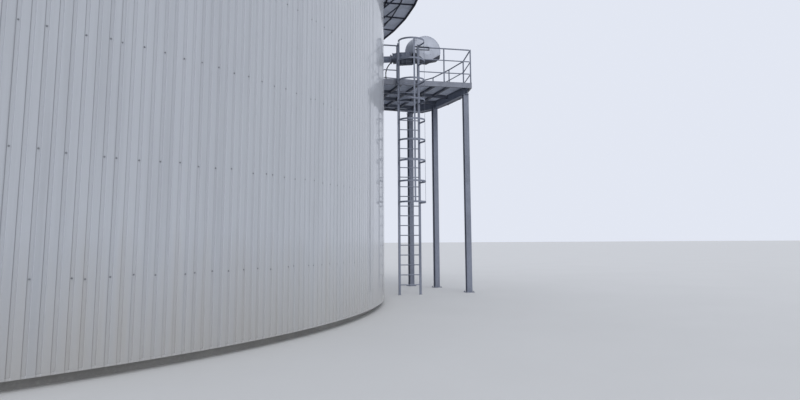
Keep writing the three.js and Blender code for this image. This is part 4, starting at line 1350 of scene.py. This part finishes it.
def conduit_line():
    """The conduit's centreline: one smooth run of bends, from the coupling's face to the deck."""
    steps = 10
    away, z = -0.001, CONDUIT_START
    line = [drive_point(COUPLING_START + away, CONDUIT_SIDEWAYS, z)]
    for radius, low, high in CONDUIT_BENDS:
        length = radius * radians(abs(high - low)) / steps
        for step in range(steps):
            slope = radians(low + (high - low) * (step + 0.5) / steps)
            away -= length * cos(slope)
            z -= length * sin(slope)
            line.append(drive_point(COUPLING_START + away, CONDUIT_SIDEWAYS, z))
    line[-1].z = DECK_TOP + 0.001
    return line


def conduit():
    line = conduit_line()
    form = Form()
    form.tube(line, CONDUIT_RADIUS, 16)
    hose = piece("drive_hose", form, rubber, ["drive_conduit"])

    glands = Form()
    upper = [(0.026, -0.002), (0.026, 0.016), (0.0215, 0.020), (0.0195, 0.050), (0.0187, 0.056)]
    glands.turned(upper, 16, facing(line[0], (line[1] - line[0]).normalized()))
    lower = [(0.030, 0.0), (0.030, 0.014), (0.0215, 0.018), (0.0190, 0.046)]
    glands.turned(lower, 16, facing(line[-1], UP))
    piece("hose_glands", glands, rubber)


conduit()


# Small steel parts: bolts at the platform's joints, foot bolts and the grab bars

def platform_bolts():
    form = Form()
    for place in COLUMNS:
        turn = column_frame(place)
        for sx in (-1, 1):
            for sy in (-1, 1):
                form.hexagon_bolt(turn @ Vector((sx * 0.105, sy * 0.105, 0.015)), UP, 0.012, 0.028)
                under = turn @ Vector((sx * 0.045, sy * 0.050, MAIN_BEAM_BOTTOM - 0.0165))
                form.hexagon_bolt(under, -UP, 0.009, 0.012)
    for y in CROSS_PLACES:
        for side in (-0.060, 0.060):
            for z in (JOIST_TOP - 0.1297, JOIST_TOP - 0.0397):
                form.hexagon_bolt((wall_x(y) + STEEL_PLATE, y + side, z), (1, 0, 0), 0.009, 0.012)
    piece("platform_bolts", form, steel)


def grab_bars():
    """Two bars and a slanted one beside the ladder's top, to hold when stepping over."""
    form = Form()
    hinge = LADDER_HALF + STILE_HALF - 0.012
    start, reach = hinge - 0.110, hinge + 0.345
    out = -0.014
    top, low = 7.348, 7.250
    for ends, radius, sides in [
        ([(start, out, top), (reach, out, top)], 0.016, 10),
        ([(start, out, low), (reach, out, low + 0.012)], 0.014, 10),
        ([(reach, out, low + 0.004), (reach, out, top + 0.008)], 0.012, 10),
        ([(hinge, out, top - 0.03), (hinge, out, top + 0.03)], 0.018, 12),
        ([(hinge, out, low - 0.03), (hinge, out, low + 0.03)], 0.018, 12),
        ([(hinge, -0.012, 7.350), (hinge + 0.150, -0.014, 7.468)], 0.014, 10),
    ]:
        form.tube([ladder_point(*end) for end in ends], radius, sides)
    piece("grab_bars", form, seat_paint)


platform_bolts()
grab_bars()


# Floor, light and camera

def floor():
    mesh = bpy.data.meshes.new("floor")
    rim = [polar(FLOOR_RADIUS, angle, 0) for angle in around(96)]
    mesh.from_pydata(rim, [], [tuple(range(len(rim)))])
    finish = Finish("floor_pale", (0.62, 0.62, 0.61), 0.9)
    finish.patches((0.55, 0.55, 0.54), 0.25, 0.3, 0.7, 0.4, 1.0, 5)
    mesh.materials.append(finish.material)
    placed("floor", mesh)


def light():
    """An even overcast sky that is a little brighter behind the camera."""
    world = bpy.data.worlds.new("soft_sky")
    world.use_nodes = True
    background = world.node_tree.nodes["Background"]
    background.inputs["Color"].default_value = (0.82, 0.86, 0.96, 1)
    background.inputs["Strength"].default_value = 0.93
    bpy.context.scene.world = world
    lamp = bpy.data.lights.new("soft_sun", "SUN")
    lamp.energy = 0.85
    lamp.angle = radians(40)
    lamp.color = (1.0, 0.99, 0.97)
    heading, height = radians(-92), radians(42)
    toward = Vector(polar(cos(height), heading, sin(height)))
    placed("soft_sun", lamp).rotation_euler = toward.to_track_quat("Z", "Y").to_euler()
    bpy.context.scene.view_settings.view_transform = "Standard"


def camera():
    lens = bpy.data.cameras.new("photo_camera")
    lens.lens = CAMERA_LENS
    lens.sensor_width = 36.0
    lens.shift_y = CAMERA_SHIFT
    lens.clip_end = 2000
    tilt = Matrix.Rotation(pi / 2 + CAMERA_TILT, 4, "X")
    item = placed("photo_camera", lens)
    item.matrix_world = (
        Matrix.Translation(CAMERA_PLACE) @ turned_by(-CAMERA_HEADING) @ tilt @ turned_by(-CAMERA_ROLL)
    )
    bpy.context.scene.camera = item


floor()
light()
camera()
